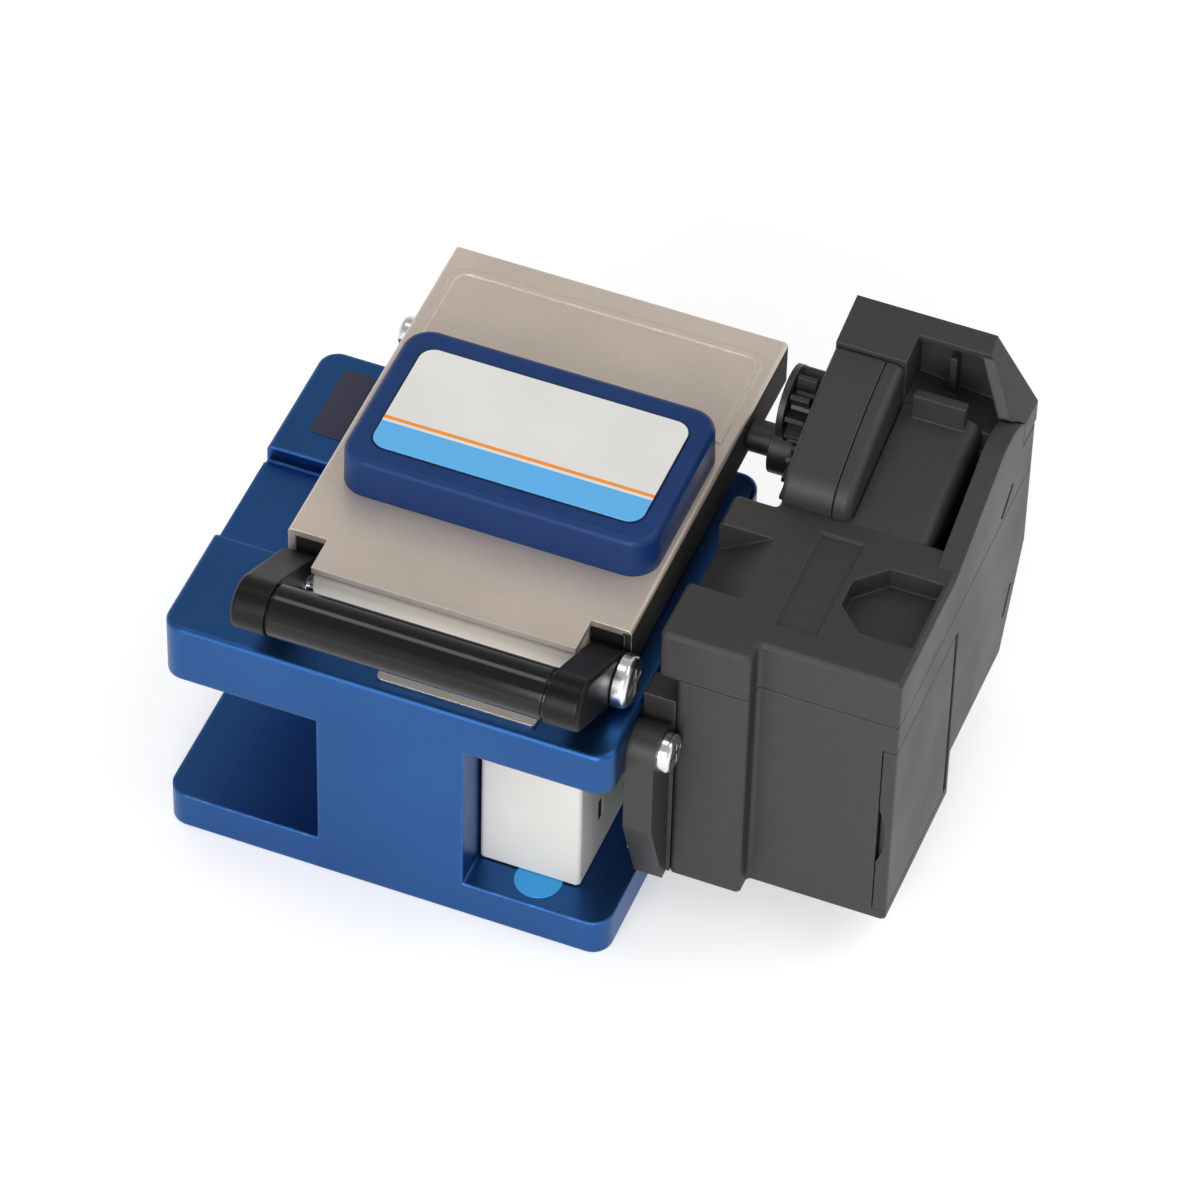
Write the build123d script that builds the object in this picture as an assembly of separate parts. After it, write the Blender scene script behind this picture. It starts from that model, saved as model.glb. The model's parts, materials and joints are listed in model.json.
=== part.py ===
from build123d import *
import math
import os

# Bench fibre cleaver with an off-cut collector. Millimetres, +Z up, +X towards the collector,
# +Y to the rear. The origin is the middle of the main frame's underside.

# Clearances
run_gap = 0.3        # between bodies that move past each other
shaft_gap = 0.06     # radial, shaft in its hole
slide_gap = 0.25     # dovetail rail in its groove
seam_gap = 0.2       # parting line between two mouldings
cut = 1.0            # how far a cutter runs past the face that it opens

# Main frame: base plate, web and top plate in one block
body_w = 72.0
body_d = 62.9
body_h = 44.1
base_t = 6.8
left_plate_t = 10.8  # top plate above the left channel
right_plate_t = 7.8  # top plate above the right channel
left_channel = 25.2
right_channel = 23.2
corner_r = 3.2
edge_r = 0.8
foot_r = 0.4
rest_w = 20.0        # fibre-holder rest, cut across the left of the top plate
rest_len = 40.0
rest_depth = 2.5
rest_groove = 1.2
rest_groove_t = 0.6
fibre_y = -1.5
fibre_lift = 0.3     # fibre above the top plate

# Strike plate for the lid magnet
strike_w = 25.2
strike_d = 14.0
strike_t = 0.6
strike_inset = 1.9
strike_edge = 0.6    # past the blade slot
strike_r = 0.8

# Blade slider, and the dovetail rail on its left side that runs in the web
rail_w = 6.0
rail_neck = 4.4
rail_h = 3.4
rail_rise = 11.2     # above the base plate
rail_inset = 2.5
rail_screw_r = 1.0
rail_screw_head = 1.8
rail_screw_h = 1.5
rail_screw_grip = 6.0
rail_screw_in = 5.0
slider_w = 16.2
slider_len = 28.0
slider_inset = 6.05
slider_travel = 26.0
slider_r = 0.8
side_slot_y = 8.2
side_slot_z = 7.0
side_slot_len = 4.3
side_slot_w = 1.5
blade_r = 9.0
blade_t = 0.8
blade_bevel = 1.2
blade_in = 6.4       # blade from the slider's left side
blade_back = 11.0    # blade axle behind the slider's front face
blade_sink = 2.4     # slider's top below the blade axle
blade_room = 3.2     # half width of the blade's seat in the slider
holder_t = 1.7
holder_len = 14.0
holder_foot = 2.4
holder_foot_t = 1.2
holder_tail = 3.0
axle_r = 1.2
slot_w = 6.2

# Clamp pads and anvil
pad_w = 5.8
pad_d = 6.0
pad_pitch = 14.2
pad_sunk = 2.0
pad_play = 0.05
anvil_w = 2.8
anvil_r = 0.9

# Lid
lid_w = 54.85
lid_side = 3.5       # lid's right edge inside the frame's right side
lid_rise = 9.9       # top of the lid above the frame
lid_t = 1.2
lid_fold_r = 0.7
lid_flange = 8.0
lid_front = 16.8     # tabs, behind the frame's front face
lid_tongue = 6.15    # tongue, in front of the tabs
lid_back = 18.85     # rear edge, behind the frame's rear face
block_h = 5.6
block_len = 40.0
block_wall = 2.4
nose_drop = 7.0
nose_gap = 0.5
nose_r = 0.8
magnet_in = 1.2
magnet_d = 4.0
magnet_t = 1.4
magnet_proud = 0.2
border_h = 0.25
border_w = 1.0
border_side = 1.8
border_back = 4.2
border_r = 3.0

# Press pad on the lid
press_left = 3.15
press_right = 1.2
press_front = 10.15
press_d = 30.5
press_h = 7.2
press_r = 4.5
press_edge = 1.4
press_draft = 1.0
press_screw_r = 1.2
press_head_r = 2.2
press_head_h = 1.6
press_sunk = 2.6
press_bite = 4.0
press_boss_r = 3.4
press_screw_in = 8.0

# Hinge
hinge_back = 3.1     # pin axis behind the frame's rear face
hinge_rise = 5.1     # pin axis above the frame
pin_r = 1.5
pin_head_r = 2.6
pin_head_t = 2.2
pin_play = 0.2
knuckle_r = 3.1
lug_w = 10.0
lug_in = 10.4        # lug's middle inside the lid's edge
lug_skin = 0.1
hinge_plate_h = 15.0
hinge_plate_t = 3.7
hinge_drop = 0.6
hinge_screw_drop = 4.4
hinge_head_r = 2.9
hinge_head_h = 1.8
hinge_sunk = 2.2
hinge_grip = 7.0
screw_r = 1.5

# Lifting lever
bar_r = 4.2
bar_skin = 0.15
bar_waist = 0.5
bar_ahead = 0.8      # bar axis in front of the frame's front face
bar_rise = 11.9
arm_w = 5.4
arm_gap = 0.97       # arm from the lid's tongue
arm_edge = 0.8
pivot_in = 11.8      # pivot behind the frame's front face
pivot_rise = 4.9
pivot_r = 1.5
pivot_thread_r = 0.7
pivot_grip = 5.0
lever_head_r = 4.1
lever_head_h = 2.3
lever_play = 0.2
driver_w = 0.5       # driver slot of the headless screw
driver_deep = 0.7

# Bracket of the collector, set out from the frame's right side and front face
bracket_t = 5.0
bracket_relief = 0.5
ear_y = 9.9
ear_drop = 5.5
ear_r = 4.0
ear_grip = 6.0
ear_head_r = 3.1
ear_head_h = 2.0
ear_skirt = 14.6
toe_y = 1.6
toe_z = 6.3
neck_y = 3.4
shelf_y = 8.0
neck_drop = 5.0      # top of the bracket below the seam
bracket_back = 8.0
dowel_r = 0.8
dowel_in = 2.0
dowel_y = 0.8
dowel_z = 6.5
dowel_proud = 0.6

# Collector case and cover. Its front is set out from the frame's front face, its rear half from the rear
case_w = 33.3
wall = 1.8
mould_r = 0.8
case_front = 13.2    # left front block
case_step = 3.4      # the rest of the front is set back by this
case_step_x = 11.3   # width of the left front block
case_back = 12.6     # behind the frame's rear face
case_lift = 1.4      # case above the base plate's top
case_heel = 18.7     # ahead of the frame's rear face
case_heel_h = 9.4
case_slope_y = 3.6
case_slope_drop = 15.0
seam_rise = 6.9      # parting line above the frame
cover_h = 9.0
cover_left = 2.2
cover_left_in = 19.1 # end of the wide part, ahead of the frame's rear face
cover_edge = 0.6
top_t = 2.0
mouth_w = 9.0
mouth_drop = 2.9
mouth_h = 6.5

# Collector deck, drum and hood, set out from the frame's right side and rear face
drum_x = 9.0
drum_w = 11.0
drum_seam = 8.0
drum_front = 18.5    # ahead of the rear face
drum_back = 3.5      # behind it
drum_h = 12.4
drum_mid_y = 11.0
drum_mid_z = 9.2
drum_brow_y = 2.6
drum_brow_z = 5.2
drum_edge = 0.8
drum_cap_edge = 1.5
hood_h = 14.8
hood_t = 1.7
hood_lip = 3.7
hood_lip_h = 4.0
hood_w = 22.2
hood_fall = 1.8
hood_turn = 1.5
shoulder_h = 3.9
pocket_fall = 2.2
rib_x = 5.2
rib_t = 1.0
rib_d = 2.2
deck_rise = 5.0
deck_r = 2.2
baffle_t = 1.6
baffle_h = 4.0
baffle_in = 2.0
baffle_gap = 0.6
cheek_w = 3.3
cheek_r = 10.5
cheek_in = 0.9
cheek_drop = 3.0
cheek_start = 24.4
cheek_step = 1.0
slot_gap = 4.6
slot_from = 18.4
slot_len = 21.5
slot_deep = 4.6

# Recesses in the cover, set out from the fibre's line
notch_y = 0.65
notch_w = 13.1
notch_len = 8.8
notch_deep = 6.5
grip_y = 1.25
grip_side = 1.2
grip_len = 13.8
grip_w = 12.6
grip_cut = 4.4
grip_deep = 3.7
grip_t = 1.6
strip_gap = 0.6
strip_w = 6.6
strip_len = 20.0
strip_y = 1.25
strip_deep = 0.5

# Gear train from the lid to the feed roller
module = 1.0
gear_w = 3.0
gear_gap = 0.8       # gears from the drum's left face
sector_teeth = 20
pinion_teeth = 10
drum_teeth = 8
idler_teeth = 16
roller_teeth = 12
pinion_angle = 107.9
idler_angle = 246.0
roller_angle = 200.9
sector_hub_r = 4.8
sector_hub_gap = 0.8
flange_r = 5.9
flange_t = 1.0
drum_boss_r = 5.0
drum_boss_t = 0.5
bearing_r = 3.2
bearing_t = 1.6
shaft_r = 1.5
axle_flange = 1.0
roller_r = 4.6
pinch_r = 3.6
roller_w = 15.9
pinch_angle = 270.0
pinch_cheek_t = 1.6
pinch_half = 2.2
pinch_reach = 4.8

# Slots in the collector's right side
vent_len = 5.6
vent_w = 1.3
vent_deep = 0.6
upper_slot_y = 0.7   # behind the frame's rear face
upper_slot_rise = 2.6
upper_slot_turn = 36.0
lower_slot_y = 5.1
lower_slot_rise = 10.0
lower_slot_turn = 60.0

# Side door of the collector
door_t = 2.0
door_drop = 5.9
door_in = 19.9       # rear edge, ahead of the frame's rear face
door_pin_r = 0.5
door_pin_in = 2.0
door_pin_sunk = 0.45
finger_w = 1.0
finger_h = 11.6
finger_d = 1.1
finger_rise = 16.5

# Places that follow from the sizes above
right = body_w / 2
front = -body_d / 2
rear = body_d / 2
left_roof = body_h - left_plate_t
right_roof = body_h - right_plate_t
web_x0 = -right + left_channel
web_x1 = right - right_channel
fibre_z = body_h + fibre_lift
slider_x0 = web_x1 + run_gap
slider_x1 = slider_x0 + slider_w
slider_y0 = front + slider_inset
slider_y1 = slider_y0 + slider_len
slider_z0 = base_t + run_gap
rail_z = base_t + rail_rise
blade_x = slider_x0 + blade_in
blade_y = slider_y0 + blade_back
blade_z = fibre_z - blade_r
slider_top = blade_z - blade_sink
strike_x1 = blade_x + slot_w / 2 + strike_edge
strike_x0 = strike_x1 - strike_w
lid_x1 = right - lid_side
lid_x0 = lid_x1 - lid_w
lid_x = (lid_x0 + lid_x1) / 2
lid_y0 = front + lid_front
lid_y1 = rear + lid_back
lid_top = body_h + lid_rise
lid_under = lid_top - lid_t
block_z = lid_under - block_h
tongue_x0 = lid_x0 + arm_w + arm_gap
tongue_x1 = lid_x1 - arm_w - arm_gap
tongue_y = lid_y0 - lid_tongue
nose_z0 = lid_under - nose_drop
magnet_x = (strike_x0 + cut, blade_x - slot_w / 2 - cut)
magnet_y = (tongue_y + magnet_in, tongue_y + magnet_in + magnet_d)
press_x0 = lid_x0 + press_left
press_x1 = lid_x1 - press_right
press_y0 = lid_y0 + press_front
press_y1 = press_y0 + press_d
hinge_y = rear + hinge_back
hinge_z = body_h + hinge_rise
lug_back = hinge_y + knuckle_r - lug_skin
hinge_screw_z = body_h - hinge_screw_drop
bar_y = front - bar_ahead
bar_z = body_h + bar_rise
pivot_y = front + pivot_in
pivot_z = body_h + pivot_rise
ear_z = body_h - ear_drop
case_x0 = right + bracket_t
case_x1 = case_x0 + case_w
step_x = case_x0 + case_step_x
case_y0 = front + case_front
face_y = case_y0 + case_step
case_y1 = rear + case_back
case_low = base_t + case_lift
case_heel_z = case_low + case_heel_h
seam_z = body_h + seam_rise
case_slope_z = seam_z - case_slope_drop
mouth_z = fibre_z - mouth_drop
cover_top = seam_z + cover_h
cover_x0 = right + cover_left
cover_y1 = rear - cover_left_in
drum_x0 = right + drum_x
drum_x1 = drum_x0 + drum_w
drum_y0 = rear - drum_front
drum_y1 = rear + drum_back
drum_top = cover_top + drum_h
hood_top = cover_top + hood_h
hood_y = drum_y1 + seam_gap
shoulder_z = cover_top + shoulder_h
cheek_x0 = case_x1 - cheek_w
slot_x0 = cheek_x0 - slot_gap
cheek_z = cover_top - cheek_drop
door_top = seam_z - door_drop
door_y1 = rear - door_in
door_axis_x = case_x1 - door_t / 2
door_axis_y = door_y1 - door_t / 2
finger_z = case_low + wall + finger_rise
gear_x1 = drum_x0 - gear_gap
gear_x0 = gear_x1 - gear_w
train_x0 = drum_x0 + wall + 2 * run_gap
train_x1 = train_x0 + gear_w
roller_x0 = train_x1 + pinch_cheek_t + 2 * run_gap
roller_x1 = roller_x0 + roller_w


def block(xs, ys, zs):
    """Rectangular solid between pairs of limits."""
    size = [hi - lo for lo, hi in (xs, ys, zs)]
    mid = [(hi + lo) / 2 for lo, hi in (xs, ys, zs)]
    return Pos(*mid) * Box(*size)


def rod_x(y, z, radius, x0, x1):
    """Cylinder along X."""
    return Pos((x0 + x1) / 2, y, z) * Rot(0, 90, 0) * Cylinder(radius, x1 - x0)


def rod_y(x, z, radius, y0, y1):
    """Cylinder along Y."""
    return Pos(x, (y0 + y1) / 2, z) * Rot(90, 0, 0) * Cylinder(radius, y1 - y0)


def rod_z(x, y, radius, z0, z1):
    """Cylinder along Z."""
    return Pos(x, y, (z0 + z1) / 2) * Cylinder(radius, z1 - z0)


def prism_x(points, x0, x1):
    """Outline in Y and Z, carried along X."""
    return extrude(Plane.YZ.offset(x0) * make_face(Polyline(*points, close=True)), x1 - x0)


def prism_y(points, y0, y1):
    """Outline in X and Z, carried along Y."""
    return extrude(Plane.XZ.offset(-y0) * make_face(Polyline(*points, close=True)), -(y1 - y0))


def prism_z(points, z0, z1):
    """Outline in X and Y, carried along Z."""
    return extrude(Plane.XY.offset(z0) * make_face(Polyline(*points, close=True)), z1 - z0)


def pan_screw(radius, height, shank_r, shank_len):
    """Pan-head screw with a cross recess. Its head stands on Z = 0 and its shank points down."""
    head = Pos(0, 0, height / 2) * Cylinder(radius, height)
    head = fillet(head.edges().sort_by(Axis.Z)[-1], height * 0.45)
    for turn in (0, 90):
        head -= Pos(0, 0, height) * Rot(0, 0, turn) * Box(radius * 1.25, radius * 0.26, height)
    return head + Pos(0, 0, -shank_len / 2) * Cylinder(shank_r, shank_len)


def tip_radius(teeth):
    """Radius over the tips of a gear's teeth."""
    return module * (teeth / 2 + 0.85)


def gear(teeth, phase, x0, x1, y, z, bore=0.0, first=0, count=None):
    """Spur gear with straight-sided teeth, or a sector of one. The phase is the angle of a tooth."""
    pitch = 2 * math.pi / teeth
    root = module * (teeth / 2 - 1.2)
    tip = tip_radius(teeth)
    count = teeth if count is None else count
    points = []
    for k in range(first, first + count):
        a = math.radians(phase) + k * pitch
        for radius, share in ((root, -0.36), (tip, -0.10), (tip, 0.10), (root, 0.36)):
            turned = a + share * pitch
            points.append((y + radius * math.cos(turned), z + radius * math.sin(turned)))
    if count < teeth:
        points.append((y, z))
    solid = prism_x(points, x0, x1)
    if bore:
        solid -= rod_x(y, z, bore, x0, x1)
    return solid


def meshed(phase, teeth, angle, other):
    """Phase of a second gear that meshes with the first one along the line at this angle."""
    share = ((angle - phase) / (360 / teeth)) % 1
    return angle + 180 - (0.5 - share) * 360 / other


def step_from(place, angle, distance):
    """Place at a distance and an angle in the YZ plane."""
    a = math.radians(angle)
    return place[0] + distance * math.cos(a), place[1] + distance * math.sin(a)


# Gear centres in Y and Z, and the phases that mesh them
hinge_at = (hinge_y, hinge_z)
input_at = step_from(hinge_at, pinion_angle, module * (sector_teeth + pinion_teeth) / 2)
idler_at = step_from(input_at, idler_angle, module * (drum_teeth + idler_teeth) / 2)
roller_at = step_from(idler_at, roller_angle, module * (idler_teeth + roller_teeth) / 2)
pinch_at = step_from(roller_at, pinch_angle, roller_r + pinch_r + run_gap)
sector_phase = pinion_angle
pinion_phase = meshed(sector_phase, sector_teeth, pinion_angle, pinion_teeth)
drum_phase = idler_angle
idler_phase = meshed(drum_phase, drum_teeth, idler_angle, idler_teeth)
roller_phase = meshed(idler_phase, idler_teeth, roller_angle, roller_teeth)


def main_frame():
    """C-shaped block: two channels leave a base plate, a web and a top plate."""
    body = extrude(RectangleRounded(body_w, body_d, corner_r), body_h)
    body = fillet(body.faces().sort_by(Axis.Z)[-1].outer_wire().edges(), edge_r)
    body = fillet(body.faces().sort_by(Axis.Z)[0].outer_wire().edges(), foot_r)
    past = (front - cut, rear + cut)
    body -= block((-right - cut, web_x0), past, (base_t, left_roof))
    body -= block((web_x1, right + cut), past, (base_t, right_roof))
    rest_x = (-right - cut, -right + rest_len)
    rest_y = (fibre_y - rest_w / 2, fibre_y + rest_w / 2)
    floor = body_h - rest_depth
    body -= block(rest_x, rest_y, (floor, body_h + cut))
    body -= block(rest_x, (rest_y[1] - rest_groove, rest_y[1]), (floor - rest_groove_t, floor + cut))
    slot_y = (blade_y - blade_r - run_gap, blade_y + slider_travel + blade_r + run_gap)
    body -= block((blade_x - slot_w / 2, blade_x + slot_w / 2), slot_y, (right_roof - cut, body_h + cut))
    for x in pad_places():
        body -= clamp_pad(x, body_h - pad_sunk, body_h + cut)
    for x in lug_places():
        body -= rod_y(x, hinge_screw_z, screw_r, rear - hinge_grip - cut, rear + cut)
    body -= prism_y(dovetail(slide_gap), slider_y0 + rail_inset - cut, rear + cut)
    return body - rod_x(front + ear_y, ear_z, screw_r, right - ear_grip, right + cut)


def pad_places():
    """Middles of the two clamp pads, either side of the blade."""
    return blade_x - pad_pitch / 2, blade_x + pad_pitch / 2


def clamp_pad(x, z0, z1):
    """One rubber clamp pad on the fibre's line."""
    return block((x - pad_w / 2, x + pad_w / 2), (fibre_y - pad_d / 2, fibre_y + pad_d / 2), (z0, z1))


def strike_plate():
    """Thin steel plate at the front of the top plate, cut away around the blade slot."""
    y0 = front + strike_inset
    plate = block((strike_x0, strike_x1), (y0, y0 + strike_d), (body_h, body_h + strike_t))
    slot_x = blade_x - slot_w / 2 - run_gap
    slot_y = blade_y - blade_r - 3 * run_gap
    plate -= block((slot_x, right), (slot_y, rear), (body_h - cut, body_h + strike_t + cut))
    return fillet(plate.edges().filter_by(Axis.Z), strike_r)


def dovetail(gap):
    """Outline of the rail, wider at its head inside the web than at its foot, grown by a gap."""
    neck = rail_neck / 2 + gap
    head = rail_w / 2 + gap
    x0 = slider_x0 - rail_h - gap
    return [(slider_x0, rail_z - neck), (slider_x0, rail_z + neck), (x0, rail_z + head), (x0, rail_z - head)]


def rail_screw_places():
    """Places of the rail's screws along Y."""
    return slider_y0 + rail_inset + rail_screw_in, slider_y1 - rail_inset - rail_screw_in


def slide_rail():
    """Dovetail rail on the slider's left side, with sunk holes for its screws."""
    rail = prism_y(dovetail(0), slider_y0 + rail_inset, slider_y1 - rail_inset)
    head_x = slider_x0 - rail_h
    for y in rail_screw_places():
        rail -= rod_x(y, rail_z, rail_screw_r, head_x - cut, slider_x0 + cut)
        rail -= rod_x(y, rail_z, rail_screw_head + run_gap / 2, head_x - cut, head_x + rail_screw_head)
    return rail


def rail_screws():
    """Screws that hold the rail to the slider, sunk below its head."""
    seat = slider_x0 - rail_h + rail_screw_head
    screw = pan_screw(rail_screw_head, rail_screw_h, rail_screw_r, slider_x0 - seat + rail_screw_grip)
    placed = [Pos(seat, y, rail_z) * Rot(0, -90, 0) * screw for y in rail_screw_places()]
    return Compound(children=placed)


def slider_block():
    """Moulded blade slider with a blade seat, a slot in its side and holes for the rail's screws."""
    body = block((slider_x0, slider_x1), (slider_y0, slider_y1), (slider_z0, slider_top))
    body = fillet(body.edges().filter_by(Axis.Z), slider_r)
    for y in rail_screw_places():
        body -= rod_x(y, rail_z, rail_screw_r, slider_x0 - cut, slider_x0 + rail_screw_grip)
    slot_y = slider_y0 + side_slot_y
    slot_z = slider_z0 + side_slot_z
    body -= block((slider_x1 - side_slot_w, slider_x1 + cut),
                  (slot_y - side_slot_w / 2, slot_y + side_slot_w / 2), (slot_z, slot_z + side_slot_len))
    room = blade_r + 2 * run_gap
    body -= block((blade_x - blade_room, blade_x + blade_room), (blade_y - room, blade_y + room),
                  (blade_z - room, slider_top + cut))
    return body


def blade_holder():
    """Steel fork that carries the blade wheel on top of the slider."""
    low = slider_top
    foot_z = low + holder_foot_t
    high = blade_z + axle_r + holder_t
    inner = blade_t / 2 + run_gap
    y0 = blade_y - holder_len / 2
    y1 = blade_y + holder_len / 2
    tail = blade_y + blade_r + run_gap
    foot = blade_room + holder_foot
    fork = block((blade_x - foot, blade_x + foot), (y0, tail + holder_tail), (low, foot_z))
    fork -= block((blade_x - inner, blade_x + inner), (y0 - cut, tail), (low - cut, foot_z + cut))
    crown = axle_r + holder_t
    cheek = [(y0, low), (y1, low), (y1, foot_z), (blade_y + crown, high), (blade_y - crown, high),
             (y0, foot_z)]
    fork += prism_x(cheek, blade_x - inner - holder_t, blade_x - inner)
    fork += prism_x(cheek, blade_x + inner, blade_x + inner + holder_t)
    return fork - rod_x(blade_y, blade_z, axle_r, blade_x - foot, blade_x + foot)


def blade_wheel():
    """Circular blade with a ground edge, turned about the X axis."""
    half = blade_t / 2
    rim = blade_r - blade_bevel
    bore = axle_r + shaft_gap
    outline = [(bore, -half), (rim, -half), (blade_r, 0), (rim, half), (bore, half)]
    wheel = revolve(Plane.XZ * make_face(Polyline(*outline, close=True)), Axis.Z)
    return Pos(blade_x, blade_y, blade_z) * Rot(0, 90, 0) * wheel


def blade_axle():
    """Axle of the blade, held in the two cheeks of the fork."""
    reach = blade_t / 2 + run_gap + holder_t
    return rod_x(blade_y, blade_z, axle_r, blade_x - reach, blade_x + reach)


def lid_plate():
    """Folded sheet: flat top with a front tongue, two side flanges and a pressed border."""
    top = [(lid_x0, lid_y0), (tongue_x0, lid_y0), (tongue_x0, tongue_y), (tongue_x1, tongue_y),
           (tongue_x1, lid_y0), (lid_x1, lid_y0), (lid_x1, lid_y1), (lid_x0, lid_y1)]
    plate = prism_z(top, lid_under, lid_top)
    for x0, x1 in ((lid_x0, lid_x0 + lid_t), (lid_x1 - lid_t, lid_x1)):
        plate += block((x0, x1), (lid_y0, lid_y1), (lid_top - lid_flange, lid_top))
    ridges = plate.edges().filter_by(Axis.Y).group_by(Axis.Z)[-1]
    outer = [e for e in ridges if min(abs(e.center().X - lid_x0), abs(e.center().X - lid_x1)) < 0.01]
    plate = fillet(outer, lid_fold_r) + lid_border()
    for x0, x1 in ((lid_x0 - cut, lid_x0 + 2 * lid_t), (lid_x1 - 2 * lid_t, lid_x1 + cut)):
        plate -= rod_x(*hinge_at, pin_r, x0, x1)
    for x, y in press_screw_places():
        plate -= rod_z(x, y, press_screw_r, lid_under - cut, lid_top + cut)
    return plate


def lid_border():
    """Raised line round the bare field behind the press pad."""
    y0 = press_y1 - border_r
    y1 = lid_y1 - border_back
    size = (lid_w - 2 * border_side, y1 - y0)
    ring = RectangleRounded(*size, border_r)
    ring -= RectangleRounded(size[0] - 2 * border_w, size[1] - 2 * border_w, border_r - border_w)
    raised = extrude(Plane.XY.offset(lid_top) * Pos(lid_x, (y0 + y1) / 2) * ring, border_h)
    return raised - block((lid_x0, lid_x1), (y0 - cut, press_y1 + run_gap), (lid_top - cut, lid_top + cut))


def lid_block():
    """Rigid block under the lid plate: carries the clamps, the magnet and the lever's pivots."""
    inner_x = (lid_x0 + lid_t, lid_x1 - lid_t)
    body = block(inner_x, (lid_y0 + run_gap, lid_y0 + block_len), (block_z, lid_under))
    nose_x = (tongue_x0 + run_gap, tongue_x1 - run_gap)
    nose = block(nose_x, (tongue_y, lid_y0 + run_gap), (nose_z0, lid_under - nose_gap))
    body += fillet(nose.edges().filter_by(Axis.X).group_by(Axis.Y)[0], nose_r)
    body -= block(magnet_x, magnet_y, (nose_z0 - cut, nose_z0 + magnet_t - magnet_proud))
    body -= rod_x(pivot_y, pivot_z, pivot_thread_r, lid_x0, tongue_x0 + pivot_grip + run_gap)
    body -= rod_x(pivot_y, pivot_z, pivot_thread_r, tongue_x1 - pivot_grip - run_gap, lid_x1)
    hollow_x = (inner_x[0] + block_wall, inner_x[1] - block_wall)
    hollow_y = (fibre_y + pad_d / 2 + block_wall, lid_y0 + block_len - block_wall)
    body -= block(hollow_x, hollow_y, (block_z - cut, lid_under - block_wall))
    for x, y in press_screw_places():
        body += rod_z(x, y, press_boss_r, block_z, lid_under) & block(inner_x, hollow_y, (block_z, lid_under))
    for x, y in press_screw_places():
        body -= rod_z(x, y, press_screw_r, block_z - cut, lid_under + cut)
        body -= rod_z(x, y, press_head_r + shaft_gap, block_z - cut, block_z + press_sunk)
    return body


def lid_magnet():
    """Bar magnet in the nose of the lid block, above the strike plate."""
    low = nose_z0 - magnet_proud
    return block(magnet_x, magnet_y, (low, low + magnet_t))


def anvil():
    """Bar above the blade's line that bends the scored fibre."""
    z0 = fibre_z + 2 * run_gap
    xs = (blade_x - anvil_w / 2, blade_x + anvil_w / 2)
    bar = block(xs, (fibre_y - pad_d / 2, fibre_y + pad_d / 2), (z0, block_z))
    return fillet(bar.edges().filter_by(Axis.Y).group_by(Axis.Z)[0], anvil_r)


def press_pad():
    """Moulded pad on the lid with drafted sides and rounded edges."""
    plan = RectangleRounded(press_x1 - press_x0, press_d, press_r)
    middle = Pos((press_x0 + press_x1) / 2, (press_y0 + press_y1) / 2, lid_top)
    body = middle * extrude(plan, press_h, taper=press_draft)
    body = fillet(body.faces().sort_by(Axis.Z)[-1].outer_wire().edges(), press_edge)
    for x, y in press_screw_places():
        body -= rod_z(x, y, press_screw_r, lid_top - cut, lid_top + press_bite)
    return body


def press_screw_places():
    """Four screw places under the press pad."""
    xs = (press_x0 + press_screw_in, press_x1 - press_screw_in)
    ys = (press_y0 + press_screw_in, press_y1 - press_screw_in)
    return [(x, y) for x in xs for y in ys]


def press_screws():
    """Screws up through the lid block and plate into the press pad."""
    seat = block_z + press_sunk
    screw = pan_screw(press_head_r, press_head_h, press_screw_r, lid_top + press_bite - seat)
    placed = [Pos(x, y, seat) * Rot(180, 0, 0) * screw for x, y in press_screw_places()]
    return Compound(children=placed)


def lug_places():
    """Middles of the two hinge lugs along X."""
    return lid_x0 + lug_in, lid_x1 - lug_in


def hinge_block():
    """Bracket on the frame's rear face with two knuckles for the hinge pin."""
    plate_x = (lug_places()[0] - lug_w / 2, lug_places()[1] + lug_w / 2)
    low = body_h - hinge_plate_h
    high = body_h - hinge_drop
    plate = block(plate_x, (rear, rear + hinge_plate_t), (low, high))
    horn = [(rear, high), (lug_back, high), (lug_back, hinge_z), (hinge_y, hinge_z),
            (rear, body_h + hinge_drop)]
    for x in lug_places():
        xs = (x - lug_w / 2, x + lug_w / 2)
        plate += block(xs, (rear, lug_back), (low, high))
        plate += prism_x(horn, *xs)
        plate += rod_x(*hinge_at, knuckle_r, *xs)
    plate -= rod_x(*hinge_at, pin_r + shaft_gap, plate_x[0] - cut, plate_x[1] + cut)
    for x in lug_places():
        plate -= rod_y(x, hinge_screw_z, screw_r, rear - cut, lug_back + cut)
        plate -= rod_y(x, hinge_screw_z, hinge_head_r + shaft_gap, lug_back - hinge_sunk, lug_back + cut)
    return plate


def hinge_screws():
    """Two screws that hold the hinge block to the rear of the frame."""
    seat = lug_back - hinge_sunk
    screw = pan_screw(hinge_head_r, hinge_head_h, screw_r, seat - rear + hinge_grip)
    placed = [Pos(x, seat, hinge_screw_z) * Rot(-90, 0, 0) * screw for x in lug_places()]
    return Compound(children=placed)


def hinge_pin():
    """Pin fixed in the lid's flanges, with a round head on the left and the sector's seat on the right."""
    head_x = lid_x0 - pin_play
    pin = rod_x(*hinge_at, pin_r, head_x, gear_x1)
    head = rod_x(*hinge_at, pin_head_r, head_x - pin_head_t, head_x)
    head = fillet(head.edges().group_by(Axis.X)[0], pin_head_t * 0.45)
    return pin + head


def lid_sector():
    """Toothed sector on the end of the hinge pin, with a long hub and a sleeve up to the lid."""
    hub_x0 = right + sector_hub_gap
    sleeve_x0 = lid_x1 + pin_play
    solid = gear(sector_teeth, sector_phase, gear_x0, gear_x1, *hinge_at, first=-1, count=8)
    solid += rod_x(*hinge_at, sector_hub_r, hub_x0, gear_x1)
    solid += rod_x(*hinge_at, pin_head_r, sleeve_x0, hub_x0)
    return solid - rod_x(*hinge_at, pin_r, sleeve_x0, gear_x1)


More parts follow.
